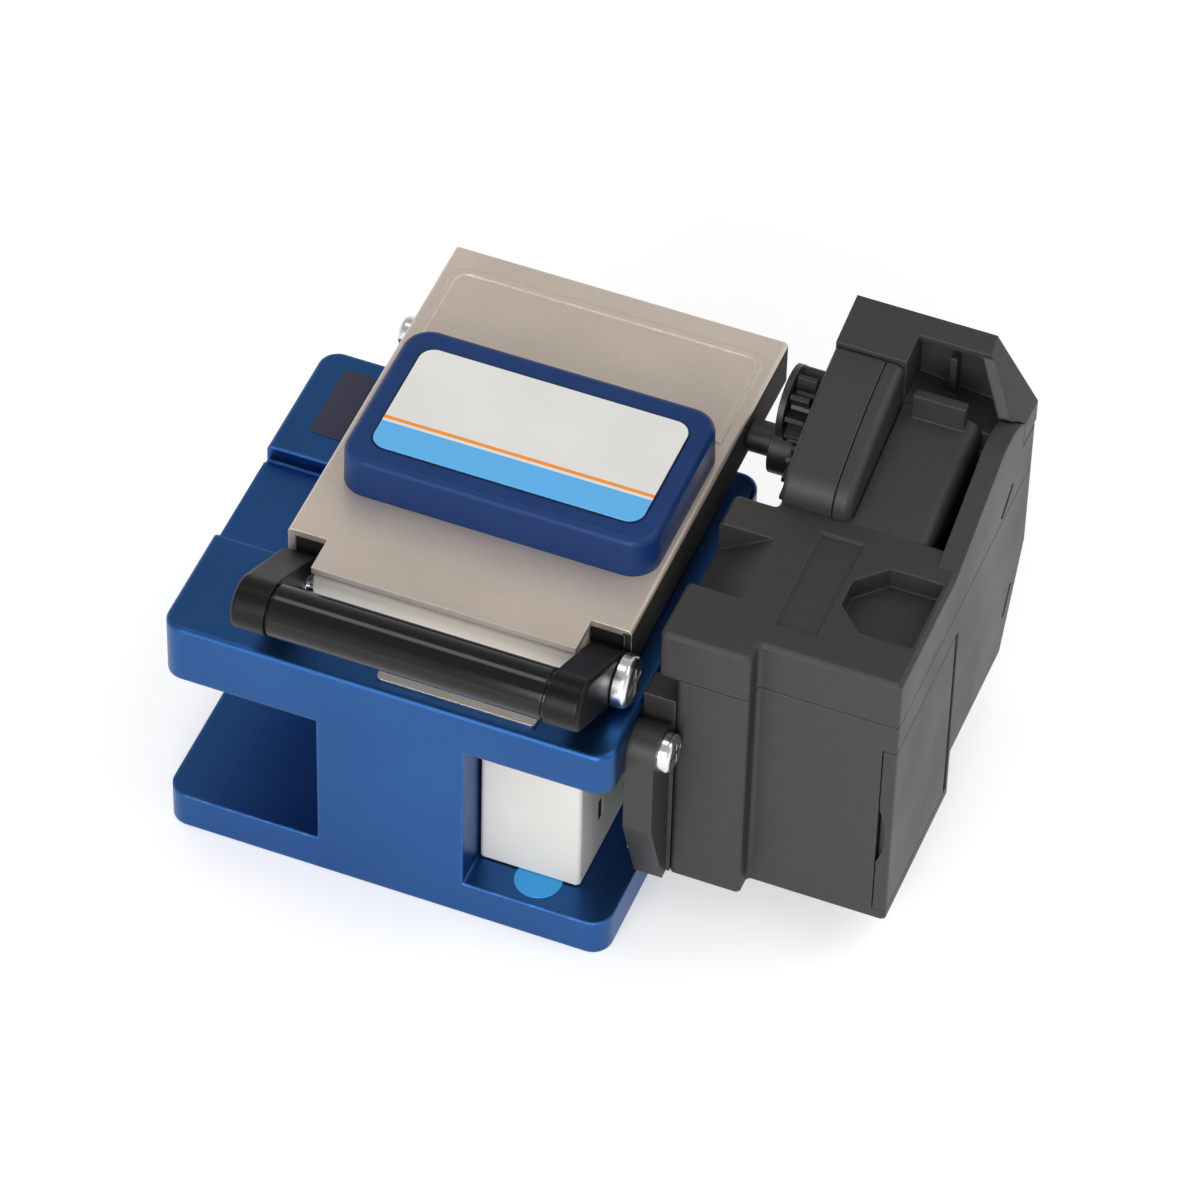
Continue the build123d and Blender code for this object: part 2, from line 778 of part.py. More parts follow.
def lever_arm(x0, x1):
    """Arm of the lifting lever from its pivot to the bar, round at both ends."""
    dy = bar_y - pivot_y
    dz = bar_z - pivot_z
    outline = SlotCenterToCenter(math.hypot(dy, dz), 2 * bar_r)
    angle = math.degrees(math.atan2(dz, dy))
    mid = Pos((bar_y + pivot_y) / 2, (bar_z + pivot_z) / 2)
    arm = extrude(Plane.YZ.offset(x0) * mid * Rot(0, 0, angle) * outline, x1 - x0)
    arm = fillet(arm.edges().group_by(Axis.X)[0 if x0 < lid_x else -1], arm_edge)
    return arm - rod_x(pivot_y, pivot_z, pivot_r + shaft_gap, x0 - cut, x1 + cut)


def lever_bar():
    """Round bar between the two arms, with a shallow waist beside each arm."""
    x0 = lid_x0 + arm_w
    x1 = lid_x1 - arm_w
    bar = rod_x(bar_y, bar_z, bar_r - bar_skin, x0, x1)
    for x in (x0, x1 - bar_waist):
        ring = rod_x(bar_y, bar_z, bar_r + cut, x, x + bar_waist)
        bar -= ring - rod_x(bar_y, bar_z, bar_r - bar_waist, x, x + bar_waist)
    return bar


def lever_screws():
    """A shoulder screw in the right arm and a headless one in the left, each with a thin thread."""
    shoulder = arm_w + 2 * lever_play
    thread = shoulder + arm_gap + run_gap + pivot_grip - lever_play
    sunk = 2 * lever_play
    pin = Pos(0, 0, -arm_w / 2) * Cylinder(pivot_r, arm_w)
    pin += Pos(0, 0, (sunk - thread) / 2) * Cylinder(pivot_thread_r, thread - sunk)
    pin -= block((-pivot_r, pivot_r), (-driver_w / 2, driver_w / 2), (-driver_deep, 0))
    screw = pan_screw(lever_head_r, lever_head_h, pivot_r, shoulder)
    screw += Pos(0, 0, -thread / 2) * Cylinder(pivot_thread_r, thread)
    left = Pos(lid_x0 + lever_play, pivot_y, pivot_z) * Rot(0, -90, 0) * pin
    other = Pos(lid_x1 + lever_play, pivot_y, pivot_z) * Rot(0, 90, 0) * screw
    return Compound(children=[left, other])


def bracket():
    """Plate between the frame and the collector, with a round ear for its screw."""
    y0 = front + ear_y
    face = case_x0 - bracket_relief
    back = cover_y1 - bracket_back
    shelf = mouth_z - bracket_relief
    outline = [(y0 - ear_r, ear_z), (y0 - ear_r, ear_z - ear_skirt), (y0 - dowel_proud, case_low + toe_z),
               (y0 + toe_y, case_low), (back, case_low), (back, shelf), (y0 + shelf_y, shelf),
               (y0 + shelf_y, seam_z - neck_drop), (y0 + neck_y, seam_z - neck_drop), (y0 + neck_y, ear_z)]
    plate = prism_x(outline, right, case_x0) + rod_x(y0, ear_z, ear_r, right, face)
    plate -= block((face, case_x0 + cut), (y0 - 2 * ear_r, case_y0), (case_low - cut, seam_z))
    plate -= rod_x(y0, ear_z, screw_r, right - cut, case_x0 + cut)
    return plate - rod_x(y0 + dowel_y, case_low + dowel_z, dowel_r, right - cut, right + dowel_in)


def bracket_screw():
    """Pan-head screw through the ear into the side of the top plate."""
    screw = pan_screw(ear_head_r, ear_head_h, screw_r, bracket_t - bracket_relief + ear_grip)
    return Pos(case_x0 - bracket_relief, front + ear_y, ear_z) * Rot(0, 90, 0) * screw


def bracket_dowel():
    """Short steel dowel in the lower corner of the bracket."""
    y = front + ear_y + dowel_y
    return rod_x(y, case_low + dowel_z, dowel_r, right - dowel_proud, right + dowel_in)


def case_outline(inset):
    """Side outline of the lower case. The inset is the wall that a hollow leaves."""
    heel = rear - case_heel - inset
    slope = rear + case_slope_y - inset / 2
    low = case_low + inset
    step = case_heel_z + inset
    back = case_y1 - inset
    high = seam_z + cut
    return [(case_y0 - cut, low), (heel, low), (heel, step), (slope, step), (back, case_slope_z + inset / 2),
            (back, high), (case_y0 - cut, high)]


def front_outline(inset, x0):
    """Plan outline of the collector with its stepped front. Its left side is at x0."""
    left = x0 + inset
    middle = step_x - inset
    x1 = case_x1 - inset
    back = case_y1 - inset
    return [(left, case_y0 + inset), (middle, case_y0 + inset), (middle, face_y + inset),
            (x1, face_y + inset), (x1, back), (left, back)]


def collector_case():
    """Lower shell of the collector: a bin with a stepped floor, open at the top and at the door."""
    top = seam_z - seam_gap
    plan = prism_z(front_outline(0, case_x0), case_low, top)
    outer = prism_x(case_outline(0), case_x0, case_x1) & fillet(plan.edges().filter_by(Axis.Z), mould_r)
    hollow = prism_x(case_outline(wall), case_x0 + wall, case_x1 - wall)
    hollow &= prism_z(front_outline(wall, case_x0), case_low, seam_z + 2 * cut)
    shell = outer - hollow
    shell -= block((case_x0 - cut, drum_x0), (cover_y1, case_y1 + cut), (case_heel_z - cut, seam_z + cut))
    inner = drum_x0 + wall
    shell += block((case_x0, inner), (cover_y1 - wall, cover_y1), (case_low, top)) & outer
    shell += block((drum_x0, inner), (cover_y1, case_y1), (case_low, top)) & outer
    for x0, x1 in ((drum_x0, inner), (case_x1 - wall - bearing_t, case_x1 - wall)):
        shell += rod_x(*roller_at, bearing_r, x0, x1) & block((x0, x1), (front, case_y1), (case_low, top))
    shell -= rod_x(*roller_at, shaft_r + shaft_gap, *roller_shaft_x())
    shell -= block((case_x1 - door_t - seam_gap, case_x1 + cut), (face_y - cut, door_y1 + 2 * seam_gap),
                   (case_low + wall, door_top + seam_gap))
    shell -= rod_z(door_axis_x, door_axis_y, door_pin_r, case_low + door_pin_sunk, door_top + door_pin_in)
    mouth = (fibre_y - mouth_w / 2, fibre_y + mouth_w / 2)
    shell -= block((case_x0 - cut, case_x0 + wall + cut), mouth, (mouth_z, mouth_z + mouth_h))
    return shell - side_slot(lower_slot_y, case_heel_z + lower_slot_rise, lower_slot_turn)


def side_slot(y, z, turn):
    """Shallow slot in the collector's right side."""
    return Pos(case_x1, rear + y, z) * Rot(turn, 0, 0) * Box(2 * vent_deep, vent_len, vent_w)


def roller_shaft_x():
    """Ends of the roller shaft's bearings, blind at both sides."""
    return drum_x0 + wall / 3, case_x1 - wall - bearing_t / 6


def bin_door():
    """Side door of the bin, turning on a pin along its rear edge, with a finger hollow in its front edge."""
    z0 = case_low + wall + seam_gap
    panel = block((case_x1 - door_t, case_x1), (face_y, door_axis_y), (z0, door_top))
    panel = fillet(panel.edges().filter_by(Axis.Z).group_by(Axis.Y)[0].sort_by(Axis.X)[-1], mould_r)
    panel += rod_z(door_axis_x, door_axis_y, door_t / 2, z0, door_top)
    bow = (finger_h ** 2 / 4 + finger_d ** 2) / (2 * finger_d)
    panel -= rod_y(case_x1 - door_t + finger_d - bow, finger_z, bow, face_y - cut, face_y + finger_w)
    return panel - rod_z(door_axis_x, door_axis_y, door_pin_r + shaft_gap, z0 - cut, door_top + cut)


def door_pin():
    """Steel pin of the side door, held in the case's floor and upper wall."""
    return rod_z(door_axis_x, door_axis_y, door_pin_r, case_low + door_pin_sunk, door_top + door_pin_in)


def cover_plan(inset):
    """Plan of the top cover: wide at the front left, narrower beside the gears."""
    x1 = case_x1 - inset
    left = cover_x0 + inset
    inner = drum_x0 + inset
    return [(left, case_y0 + inset), (step_x - inset, case_y0 + inset), (step_x - inset, face_y + inset),
            (x1, face_y + inset), (x1, case_y1 - inset), (inner, case_y1 - inset), (inner, cover_y1 - inset),
            (left, cover_y1 - inset)]


def grip_face():
    """Six-sided finger recess at the right of the cover."""
    x1 = case_x1 - grip_side
    x0 = x1 - grip_w
    y0 = fibre_y + grip_y - grip_len / 2
    y1 = y0 + grip_len
    return make_face(Polyline((x1, y0), (x0 + grip_cut, y0), (x0, y0 + grip_cut), (x0, y1 - grip_cut),
                              (x0 + grip_cut, y1), (x1, y1), close=True))


def cover_shell():
    """Hollow top shell with the cheek, still without its deck and recesses."""
    shell = prism_z(cover_plan(0), seam_z, cover_top)
    shell = fillet(shell.edges().filter_by(Axis.Z), mould_r)
    shell = chamfer(shell.faces().sort_by(Axis.Z)[-1].outer_wire().edges(), cover_edge)
    shell += extrude(Plane.YZ.offset(cheek_x0) * cheek_outline(), cheek_w)
    return shell - prism_z(cover_plan(wall), seam_z - cut, cover_top - top_t)


def deck():
    """Sloping deck beside the drum, rounded over into the long slot, with an upright baffle at its rear."""
    x0 = drum_x1 + seam_gap
    y0 = rear - slot_from
    low = cover_top - top_t - deck_r
    side = [(y0, low), (y0, cover_top), (hood_y, cover_top + deck_rise), (hood_y, low)]
    ramp = prism_x(side, x0, slot_x0 + deck_r)
    ramp = fillet(ramp.edges().group_by(Axis.X)[-1].sort_by(Axis.Z)[-1], deck_r)
    baffle = (hood_y - baffle_gap - baffle_t, hood_y - baffle_gap)
    return ramp + block((x0 + baffle_in, slot_x0), baffle, (cover_top, cover_top + deck_rise + baffle_h))


def collector_cover():
    """Top shell with the fibre notch, finger recess, strip, long slot and an opening for the drum gears."""
    shell = cover_shell()
    drop = cover_top - top_t
    grip = offset(grip_face(), grip_t, kind=Kind.INTERSECTION)
    grip = Plane.XY.offset(cover_top - grip_deep - grip_t) * grip
    within = prism_z(cover_plan(wall / 2), seam_z, cover_top)
    shell += extrude(grip, grip_deep + grip_t - top_t) & within
    shell -= extrude(Plane.XY.offset(cover_top - grip_deep) * grip_face(), grip_deep + cut)
    notch = (fibre_y + notch_y - notch_w / 2, fibre_y + notch_y + notch_w / 2)
    notch_x = cover_x0 + notch_len
    floor = [(cover_x0, cover_top - notch_deep - wall), (notch_x, drop - run_gap), (notch_x, drop + seam_gap),
             (cover_x0, drop + seam_gap)]
    outside = cover_x0 - cut
    wedge = [(notch_x, cover_top), (outside, cover_top - notch_deep), (outside, cover_top + cut),
             (notch_x, cover_top + cut)]
    shell += prism_y(floor, notch[0] - wall, notch[1] + wall)
    shell -= prism_y(wedge, *notch)
    strip_x = step_x + strip_gap
    strip = (fibre_y + strip_y - strip_len / 2, fibre_y + strip_y + strip_len / 2)
    shell -= block((strip_x, strip_x + strip_w), strip, (cover_top - strip_deep, cover_top + cut))
    slot = (rear - slot_from, rear - slot_from + slot_len)
    shell -= block((slot_x0, cheek_x0), slot, (cover_top - slot_deep, hood_top))
    shell += deck()
    inside = (drum_x0 + wall, drum_x1 - wall)
    room = input_at[0] + tip_radius(drum_teeth) + run_gap
    shell -= block(inside, (drum_y0 + wall, room), (drop - cut, cover_top + cut))
    shell -= rod_x(*idler_at, axle_r, drum_x0 + wall / 4, drum_x0 + wall + cut)
    return shell - side_slot(upper_slot_y, seam_z + upper_slot_rise, upper_slot_turn)


def cheek_outline():
    """Right cheek of the deck: a long ramp that runs into a round end."""
    y = rear - cheek_in
    a = (y - cheek_r * 0.5, cheek_z + cheek_r * 0.866)
    b = (y + cheek_r * 0.707, cheek_z + cheek_r * 0.707)
    start = (rear - cheek_start, cover_top - cheek_step)
    low = seam_z + 2 * cut
    edges = Polyline((b[0], low), (start[0], low), start, a)
    edges += ThreePointArc(a, (y + cheek_r * 0.13, cheek_z + cheek_r * 0.9915), b)
    edges += Line(b, (b[0], low))
    return make_face(edges)


def drum_outline(inset):
    """Side outline of the gear drum: a long rounded slope down to the cover. A hollow is open behind."""
    back = drum_y1 + (cut if inset else 0)
    top = drum_top - inset
    nose = drum_y0 + inset
    low = cover_top - (cut if inset else 0)
    mid = (drum_y0 + drum_mid_y + inset * 0.4, cover_top + drum_mid_z - inset)
    brow = (nose + drum_brow_y, cover_top + drum_brow_z - inset * 0.6)
    edges = Polyline((nose, low), (back, low), (back, top))
    slope = ThreePointArc((back, top), mid, brow)
    return make_face(edges + slope + TangentArc(brow, (nose, low), tangent=slope % 1))


def drum_half(x0, x1):
    """One part of the gear drum between two planes, hollow and open underneath and at the rear."""
    is_shell = x0 == drum_x0
    solid = extrude(Plane.YZ.offset(x0) * drum_outline(0), x1 - x0)
    ends = solid.edges().group_by(Axis.X)[0 if is_shell else -1]
    rim = [e for e in ends if e.center().Z > cover_top + cut and e.center().Y < drum_y1 - cut]
    solid = fillet(rim, drum_edge if is_shell else drum_cap_edge)
    solid -= extrude(Plane.YZ.offset(drum_x0 + wall) * drum_outline(wall), drum_w - 2 * wall)
    if is_shell:
        solid += rod_x(*input_at, drum_boss_r, drum_x0 - drum_boss_t, drum_x0)
    return solid - rod_x(*input_at, shaft_r + shaft_gap, drum_x0 - drum_boss_t - cut, drum_x1 - wall / 3)


def hood():
    """Visor behind the drum and deck, with a pocket under its lip and a sloping right shoulder."""
    turn = drum_x0 + hood_w
    base = cover_top
    inner = drum_x1 + seam_gap
    lip_y = case_y1 - hood_lip
    outer = [(drum_x0, base), (case_x1, base), (case_x1, shoulder_z), (turn, hood_top), (drum_x0, hood_top)]
    solid = prism_y(outer, hood_y, case_y1)
    side = case_x1 - hood_t
    floor = base + deck_rise
    pocket = [(inner, floor), (side, floor - pocket_fall), (side, shoulder_z - hood_t / 2),
              (turn - hood_t / 2, hood_top - hood_t), (inner, hood_top - hood_t)]
    solid -= prism_y(pocket, hood_y - cut, case_y1 - hood_t)
    lip = [(inner, hood_top - hood_lip_h), (turn - hood_turn, hood_top - hood_lip_h),
           (turn - hood_turn, hood_top + cut), (inner, hood_top + cut)]
    solid -= prism_y(lip, hood_y - cut, lip_y)
    arch = [(hood_y - cut, shoulder_z + cut), (hood_y, shoulder_z + cut), (lip_y, hood_top - hood_turn),
            (lip_y, hood_top + cut), (hood_y - cut, hood_top + cut)]
    solid -= prism_x(arch, turn - hood_turn, case_x1 + cut)
    solid += block((inner + rib_x, inner + rib_x + rib_t), (case_y1 - hood_t - rib_d, case_y1 - hood_t),
                   (floor - pocket_fall, hood_top - 2 * hood_t))
    cheek = offset(cheek_outline(), seam_gap)
    solid -= extrude(Plane.YZ.offset(cheek_x0 - seam_gap) * cheek, cheek_w + 2 * cut)
    slope = [(hood_y - cut, hood_top - hood_fall), (hood_y - cut, hood_top + cut),
             (case_y1 + cut, hood_top + cut), (case_y1, hood_top)]
    return solid - prism_x(slope, drum_x0 - cut, case_x1 + cut)


def input_shaft():
    """Shaft with a flanged pinion that meets the lid's sector, and the drum gear inside."""
    flange_x1 = gear_x0 - run_gap
    solid = rod_x(*input_at, shaft_r, flange_x1, drum_x1 - wall / 3 - run_gap)
    solid += rod_x(*input_at, flange_r, flange_x1 - flange_t, flange_x1)
    solid += gear(pinion_teeth, pinion_phase, gear_x0, gear_x1, *input_at)
    return solid + gear(drum_teeth, drum_phase, train_x0, train_x1, *input_at)


def idler_gear():
    """Idler between the drum gear and the feed roller."""
    return gear(idler_teeth, idler_phase, train_x0, train_x1, *idler_at, bore=axle_r + shaft_gap)


def idler_axle():
    """Fixed axle of the idler in the cover's side wall, with a flange that keeps the gear on."""
    end = train_x1 + run_gap
    solid = rod_x(*idler_at, axle_r, drum_x0 + wall / 4, end)
    return solid + rod_x(*idler_at, axle_r + axle_flange, end, end + axle_flange)


def feed_roller():
    """Rubber feed roller on the roller shaft."""
    ends = (roller_x0, roller_x1)
    return rod_x(*roller_at, roller_r, *ends) - rod_x(*roller_at, shaft_r, *ends)


def roller_shaft():
    """Shaft of the feed roller with its gear."""
    x0, x1 = roller_shaft_x()
    solid = rod_x(*roller_at, shaft_r, x0 + run_gap / 2, x1 - run_gap / 2)
    return solid + gear(roller_teeth, roller_phase, train_x0, train_x1, *roller_at)


def pinch_roller():
    """Loose roller under the feed roller, with short stub ends."""
    stub = pinch_cheek_t + run_gap / 2
    solid = rod_x(*pinch_at, pinch_r, roller_x0, roller_x1)
    return solid + rod_x(*pinch_at, axle_r, roller_x0 - stub, roller_x1 + stub)


def pinch_bracket():
    """Bracket on the case's left wall that holds the pinch roller between two cheeks."""
    y, z = pinch_at
    bar_ys = (y + pinch_reach, y + pinch_reach + pinch_cheek_t)
    zs = (z - pinch_half, z + pinch_half)
    last = roller_x1 + run_gap
    solid = block((drum_x0 + wall, last + pinch_cheek_t), bar_ys, zs)
    for x in (train_x1 + run_gap, last):
        solid += block((x, x + pinch_cheek_t), (y - pinch_half, bar_ys[1]), zs)
    return solid - rod_x(y, z, axle_r + shaft_gap, train_x1, last + 2 * pinch_cheek_t)


pieces = {
    "main_frame": main_frame(),
    "strike_plate": strike_plate(),
    "slide_rail": slide_rail(),
    "rail_screws": rail_screws(),
    "slider_block": slider_block(),
    "blade_holder": blade_holder(),
    "blade_wheel": blade_wheel(),
    "blade_axle": blade_axle(),
    "lower_pad_left": clamp_pad(pad_places()[0], body_h - pad_sunk, fibre_z - pad_play),
    "lower_pad_right": clamp_pad(pad_places()[1], body_h - pad_sunk, fibre_z - pad_play),
    "lid_plate": lid_plate(),
    "lid_block": lid_block(),
    "lid_magnet": lid_magnet(),
    "upper_pad_left": clamp_pad(pad_places()[0], fibre_z + run_gap - pad_play, block_z),
    "upper_pad_right": clamp_pad(pad_places()[1], fibre_z + run_gap - pad_play, block_z),
    "anvil": anvil(),
    "press_pad": press_pad(),
    "press_screws": press_screws(),
    "hinge_block": hinge_block(),
    "hinge_screws": hinge_screws(),
    "hinge_pin": hinge_pin(),
    "lid_sector": lid_sector(),
    "lever_arm_left": lever_arm(lid_x0, lid_x0 + arm_w),
    "lever_arm_right": lever_arm(lid_x1 - arm_w, lid_x1),
    "lever_bar": lever_bar(),
    "lever_screws": lever_screws(),
    "bracket": bracket(),
    "bracket_screw": bracket_screw(),
    "bracket_dowel": bracket_dowel(),
    "collector_case": collector_case(),
    "bin_door": bin_door(),
    "door_pin": door_pin(),
    "collector_cover": collector_cover(),
    "drum_shell": drum_half(drum_x0, drum_x0 + drum_seam),
    "drum_cap": drum_half(drum_x0 + drum_seam + seam_gap, drum_x1),
    "hood": hood(),
    "input_shaft": input_shaft(),
    "idler_gear": idler_gear(),
    "idler_axle": idler_axle(),
    "feed_roller": feed_roller(),
    "roller_shaft": roller_shaft(),
    "pinch_roller": pinch_roller(),
    "pinch_bracket": pinch_bracket(),
}

os.makedirs("parts", exist_ok=True)
for name, solid in pieces.items():
    export_step(solid, f"parts/{name}.step")
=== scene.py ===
"""Looks of a bench fibre cleaver: finishes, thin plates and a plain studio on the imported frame."""

import json
import logging
import math
from dataclasses import dataclass, field, replace
from enum import Enum

import bpy
import numpy as np
from mathutils import Matrix, Vector

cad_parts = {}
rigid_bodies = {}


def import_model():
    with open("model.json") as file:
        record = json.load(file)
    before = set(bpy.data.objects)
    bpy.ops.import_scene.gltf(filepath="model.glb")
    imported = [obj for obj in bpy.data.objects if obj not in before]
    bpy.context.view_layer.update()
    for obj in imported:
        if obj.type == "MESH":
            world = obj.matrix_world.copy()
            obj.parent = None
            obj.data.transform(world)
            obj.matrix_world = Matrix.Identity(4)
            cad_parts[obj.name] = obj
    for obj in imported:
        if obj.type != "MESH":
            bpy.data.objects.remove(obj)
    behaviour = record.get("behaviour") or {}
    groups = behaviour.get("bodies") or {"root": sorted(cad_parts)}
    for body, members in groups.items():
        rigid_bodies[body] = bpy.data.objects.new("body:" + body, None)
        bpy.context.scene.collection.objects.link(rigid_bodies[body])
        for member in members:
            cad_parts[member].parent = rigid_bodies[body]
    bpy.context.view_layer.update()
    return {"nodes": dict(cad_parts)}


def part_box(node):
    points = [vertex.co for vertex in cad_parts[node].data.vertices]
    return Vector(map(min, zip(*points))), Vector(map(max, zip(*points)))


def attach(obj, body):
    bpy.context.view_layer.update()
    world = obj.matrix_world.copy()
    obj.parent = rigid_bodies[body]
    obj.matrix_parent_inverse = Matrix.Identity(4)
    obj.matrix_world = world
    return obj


LOG = logging.getLogger("fibre_cleaver")
MM = 0.001
PLAN_MAP = "plan"
Colour = tuple[float, float, float]
Pair = tuple[float, float]
Triple = tuple[float, float, float]
Socket = bpy.types.NodeSocket
Outputs = bpy.types.bpy_prop_collection
Value = float | tuple[float, ...] | Socket
UNIT: Pair = (0.0, 1.0)


class Texture(Enum):
    """Kinds of small relief that a finish can have."""

    BLASTED = "blasted"
    SPARK = "spark"
    DRAWN = "drawn"
    SOFT = "soft"


class Graph:
    """Short calls for making and joining the nodes of one tree."""

    mix_first: int = 6
    mix_second: int = 7
    mix_result: int = 2

    def __init__(self, tree: bpy.types.NodeTree) -> None:
        """Keeps the tree.

        Args:
            tree: The node tree that the calls work on.
        """
        self.tree = tree

    def put(self, target: bpy.types.Node, values: dict[str | int, Value]) -> None:
        """Fills or links the inputs of a node.

        Args:
            target: The node that is filled.
            values: Input name or index, with a number, a colour or the socket to link from.
        """
        for key, value in values.items():
            if isinstance(value, Socket):
                self.tree.links.new(value, target.inputs[key])
            else:
                target.inputs[key].default_value = value

    def node(self, kind: str, values: dict[str | int, Value] | None = None,
             **settings: object) -> bpy.types.Node:
        """Adds a node, sets its options and fills or links its inputs.

        Args:
            kind: The node's type name.
            values: Inputs, as put takes them.
            **settings: Options of the node itself.

        Returns:
            The new node.
        """
        made = self.tree.nodes.new(kind)
        for key, value in settings.items():
            setattr(made, key, value)
        self.put(made, values or {})
        return made

    def math(self, operation: str, a: Value, b: Value = 0.0, clamp: bool = False) -> Socket:
        """Adds a Math node.

        Args:
            operation: The node's operation.
            a: First number or socket.
            b: Second number or socket.
            clamp: Whether the result is kept between 0 and 1.

        Returns:
            The result's socket.
        """
        return self.node("ShaderNodeMath", {0: a, 1: b}, operation=operation, use_clamp=clamp).outputs[0]

    def vector(self, operation: str, a: Value, b: Value = (0.0, 0.0, 0.0)) -> Outputs:
        """Adds a Vector Math node.

        Args:
            operation: The node's operation.
            a: First vector or socket.
            b: Second vector or socket.

        Returns:
            The node's outputs, by name: Vector, or Value for a product.
        """
        return self.node("ShaderNodeVectorMath", {0: a, 1: b}, operation=operation).outputs

    def mix(self, factor: Value, a: Value, b: Value) -> Socket:
        """Mixes two colours.

        Args:
            factor: Share of the second colour.
            a: First colour or socket.
            b: Second colour or socket.

        Returns:
            The mixed colour's socket.
        """
        first, second = [(*c, 1.0) if isinstance(c, tuple) else c for c in (a, b)]
        values = {0: factor, self.mix_first: first, self.mix_second: second}
        return self.node("ShaderNodeMix", values, data_type="RGBA").outputs[self.mix_result]

    def spread(self, value: Value, source: Pair, target: Pair) -> Socket:
        """Maps a value from one range to another, clamped.

        Args:
            value: The number's socket.
            source: Range that comes in.
            target: Range that goes out.

        Returns:
            The mapped value's socket.
        """
        ranges = {0: value, 1: source[0], 2: source[1], 3: target[0], 4: target[1]}
        return self.node("ShaderNodeMapRange", ranges).outputs[0]

    def noise(self, place: Socket, scale: Value, detail: float) -> Socket:
        """Adds a noise texture.

        Args:
            place: Coordinates.
            scale: Scale of the noise.
            detail: Octaves of finer noise.

        Returns:
            The noise value's socket.
        """
        return self.node("ShaderNodeTexNoise", {"Vector": place, "Scale": scale, "Detail": detail}).outputs[0]


class Effect:
    """A shared shader node group with named inputs and outputs, built once."""

    name: str = ""
    takes: dict[str, str] = {}
    gives: dict[str, str] = {}

    def fill(self, graph: Graph, given: Outputs, result: bpy.types.Node) -> None:
        """Makes the group's inner nodes.

        Args:
            graph: Calls on the group's tree.
            given: Values that come into the group.
            result: The group's output node.
        """
        raise NotImplementedError

    def tree(self) -> bpy.types.NodeTree:
        """Finds the group, or builds it the first time.

        Returns:
            The group's node tree.
        """
        found = bpy.data.node_groups.get(self.name)
        if found:
            return found
        made = bpy.data.node_groups.new(self.name, "ShaderNodeTree")
        for side, sockets in (("INPUT", self.takes), ("OUTPUT", self.gives)):
            for label, kind in sockets.items():
                made.interface.new_socket(label, in_out=side, socket_type="NodeSocket" + kind)
        graph = Graph(made)
        self.fill(graph, graph.node("NodeGroupInput").outputs, graph.node("NodeGroupOutput"))
        return made

    def place(self, graph: Graph, values: dict[str, Value]) -> Outputs:
        """Puts the group into a material.

        Args:
            graph: Calls on the material's tree.
            values: The group's inputs.

        Returns:
            The group node's outputs.
        """
        return graph.node("ShaderNodeGroup", values, node_tree=self.tree()).outputs


class SurfaceClouds(Effect):
    """Slow uneven patches and fine flecks that a handled surface shows."""

    name = "surface clouds"
    takes = {"Vector": "Vector", "Size": "Float", "Fleck Size": "Float"}
    gives = {"Cloud": "Float", "Fleck": "Float"}
    cloud_detail: float = 3.0
    cloud_part: Pair = (0.32, 0.68)
    fleck_detail: float = 1.0
    fleck_part: Pair = (0.54, 0.70)

    def fill(self, graph: Graph, given: Outputs, result: bpy.types.Node) -> None:
        """Two noises: the slow one stretched to full contrast, the fine one cut to scattered flecks.

        Args:
            graph: Calls on the group's tree.
            given: Values that come into the group.
            result: The group's output node.
        """
        slow = graph.noise(given["Vector"], given["Size"], self.cloud_detail)
        fine = graph.noise(given["Vector"], given["Fleck Size"], self.fleck_detail)
        graph.put(result, {"Cloud": graph.spread(slow, self.cloud_part, UNIT),
                           "Fleck": graph.spread(fine, self.fleck_part, UNIT)})


class Relief(Effect):
    """Height of a small relief: blasted metal, spark-eroded moulding, drawn lines or a soft skin."""

    takes = {"Vector": "Vector", "Scale": "Float"}
    gives = {"Height": "Float"}
    details: dict[Texture, float] = {Texture.BLASTED: 4.0, Texture.SPARK: 4.0, Texture.DRAWN: 2.0,
                                     Texture.SOFT: 1.0}
    drawn_stretch: Triple = (0.025, 1.0, 1.0)
    cell_share: float = 0.7
    noise_share: float = 0.5

    def __init__(self, texture: Texture) -> None:
        """Names the group for its relief.

        Args:
            texture: The relief that the group makes.
        """
        self.texture = texture
        self.name = f"{texture.value} relief"

    def fill(self, graph: Graph, given: Outputs, result: bpy.types.Node) -> None:
        """Noise, stretched along X for drawn lines, and added to smooth cells for a spark-eroded skin.

        Args:
            graph: Calls on the group's tree.
            given: Values that come into the group.
            result: The group's output node.
        """
        place = given["Vector"]
        if self.texture is Texture.DRAWN:
            place = graph.vector("MULTIPLY", place, self.drawn_stretch)["Vector"]
        height = graph.noise(place, given["Scale"], self.details[self.texture])
        if self.texture is Texture.SPARK:
            cells = graph.node("ShaderNodeTexVoronoi", {"Vector": place, "Scale": given["Scale"]},
                               feature="SMOOTH_F1").outputs[0]
            height = graph.math("ADD", graph.math("MULTIPLY", cells, self.cell_share),
                                graph.math("MULTIPLY", height, self.noise_share))
        graph.put(result, {"Height": height})


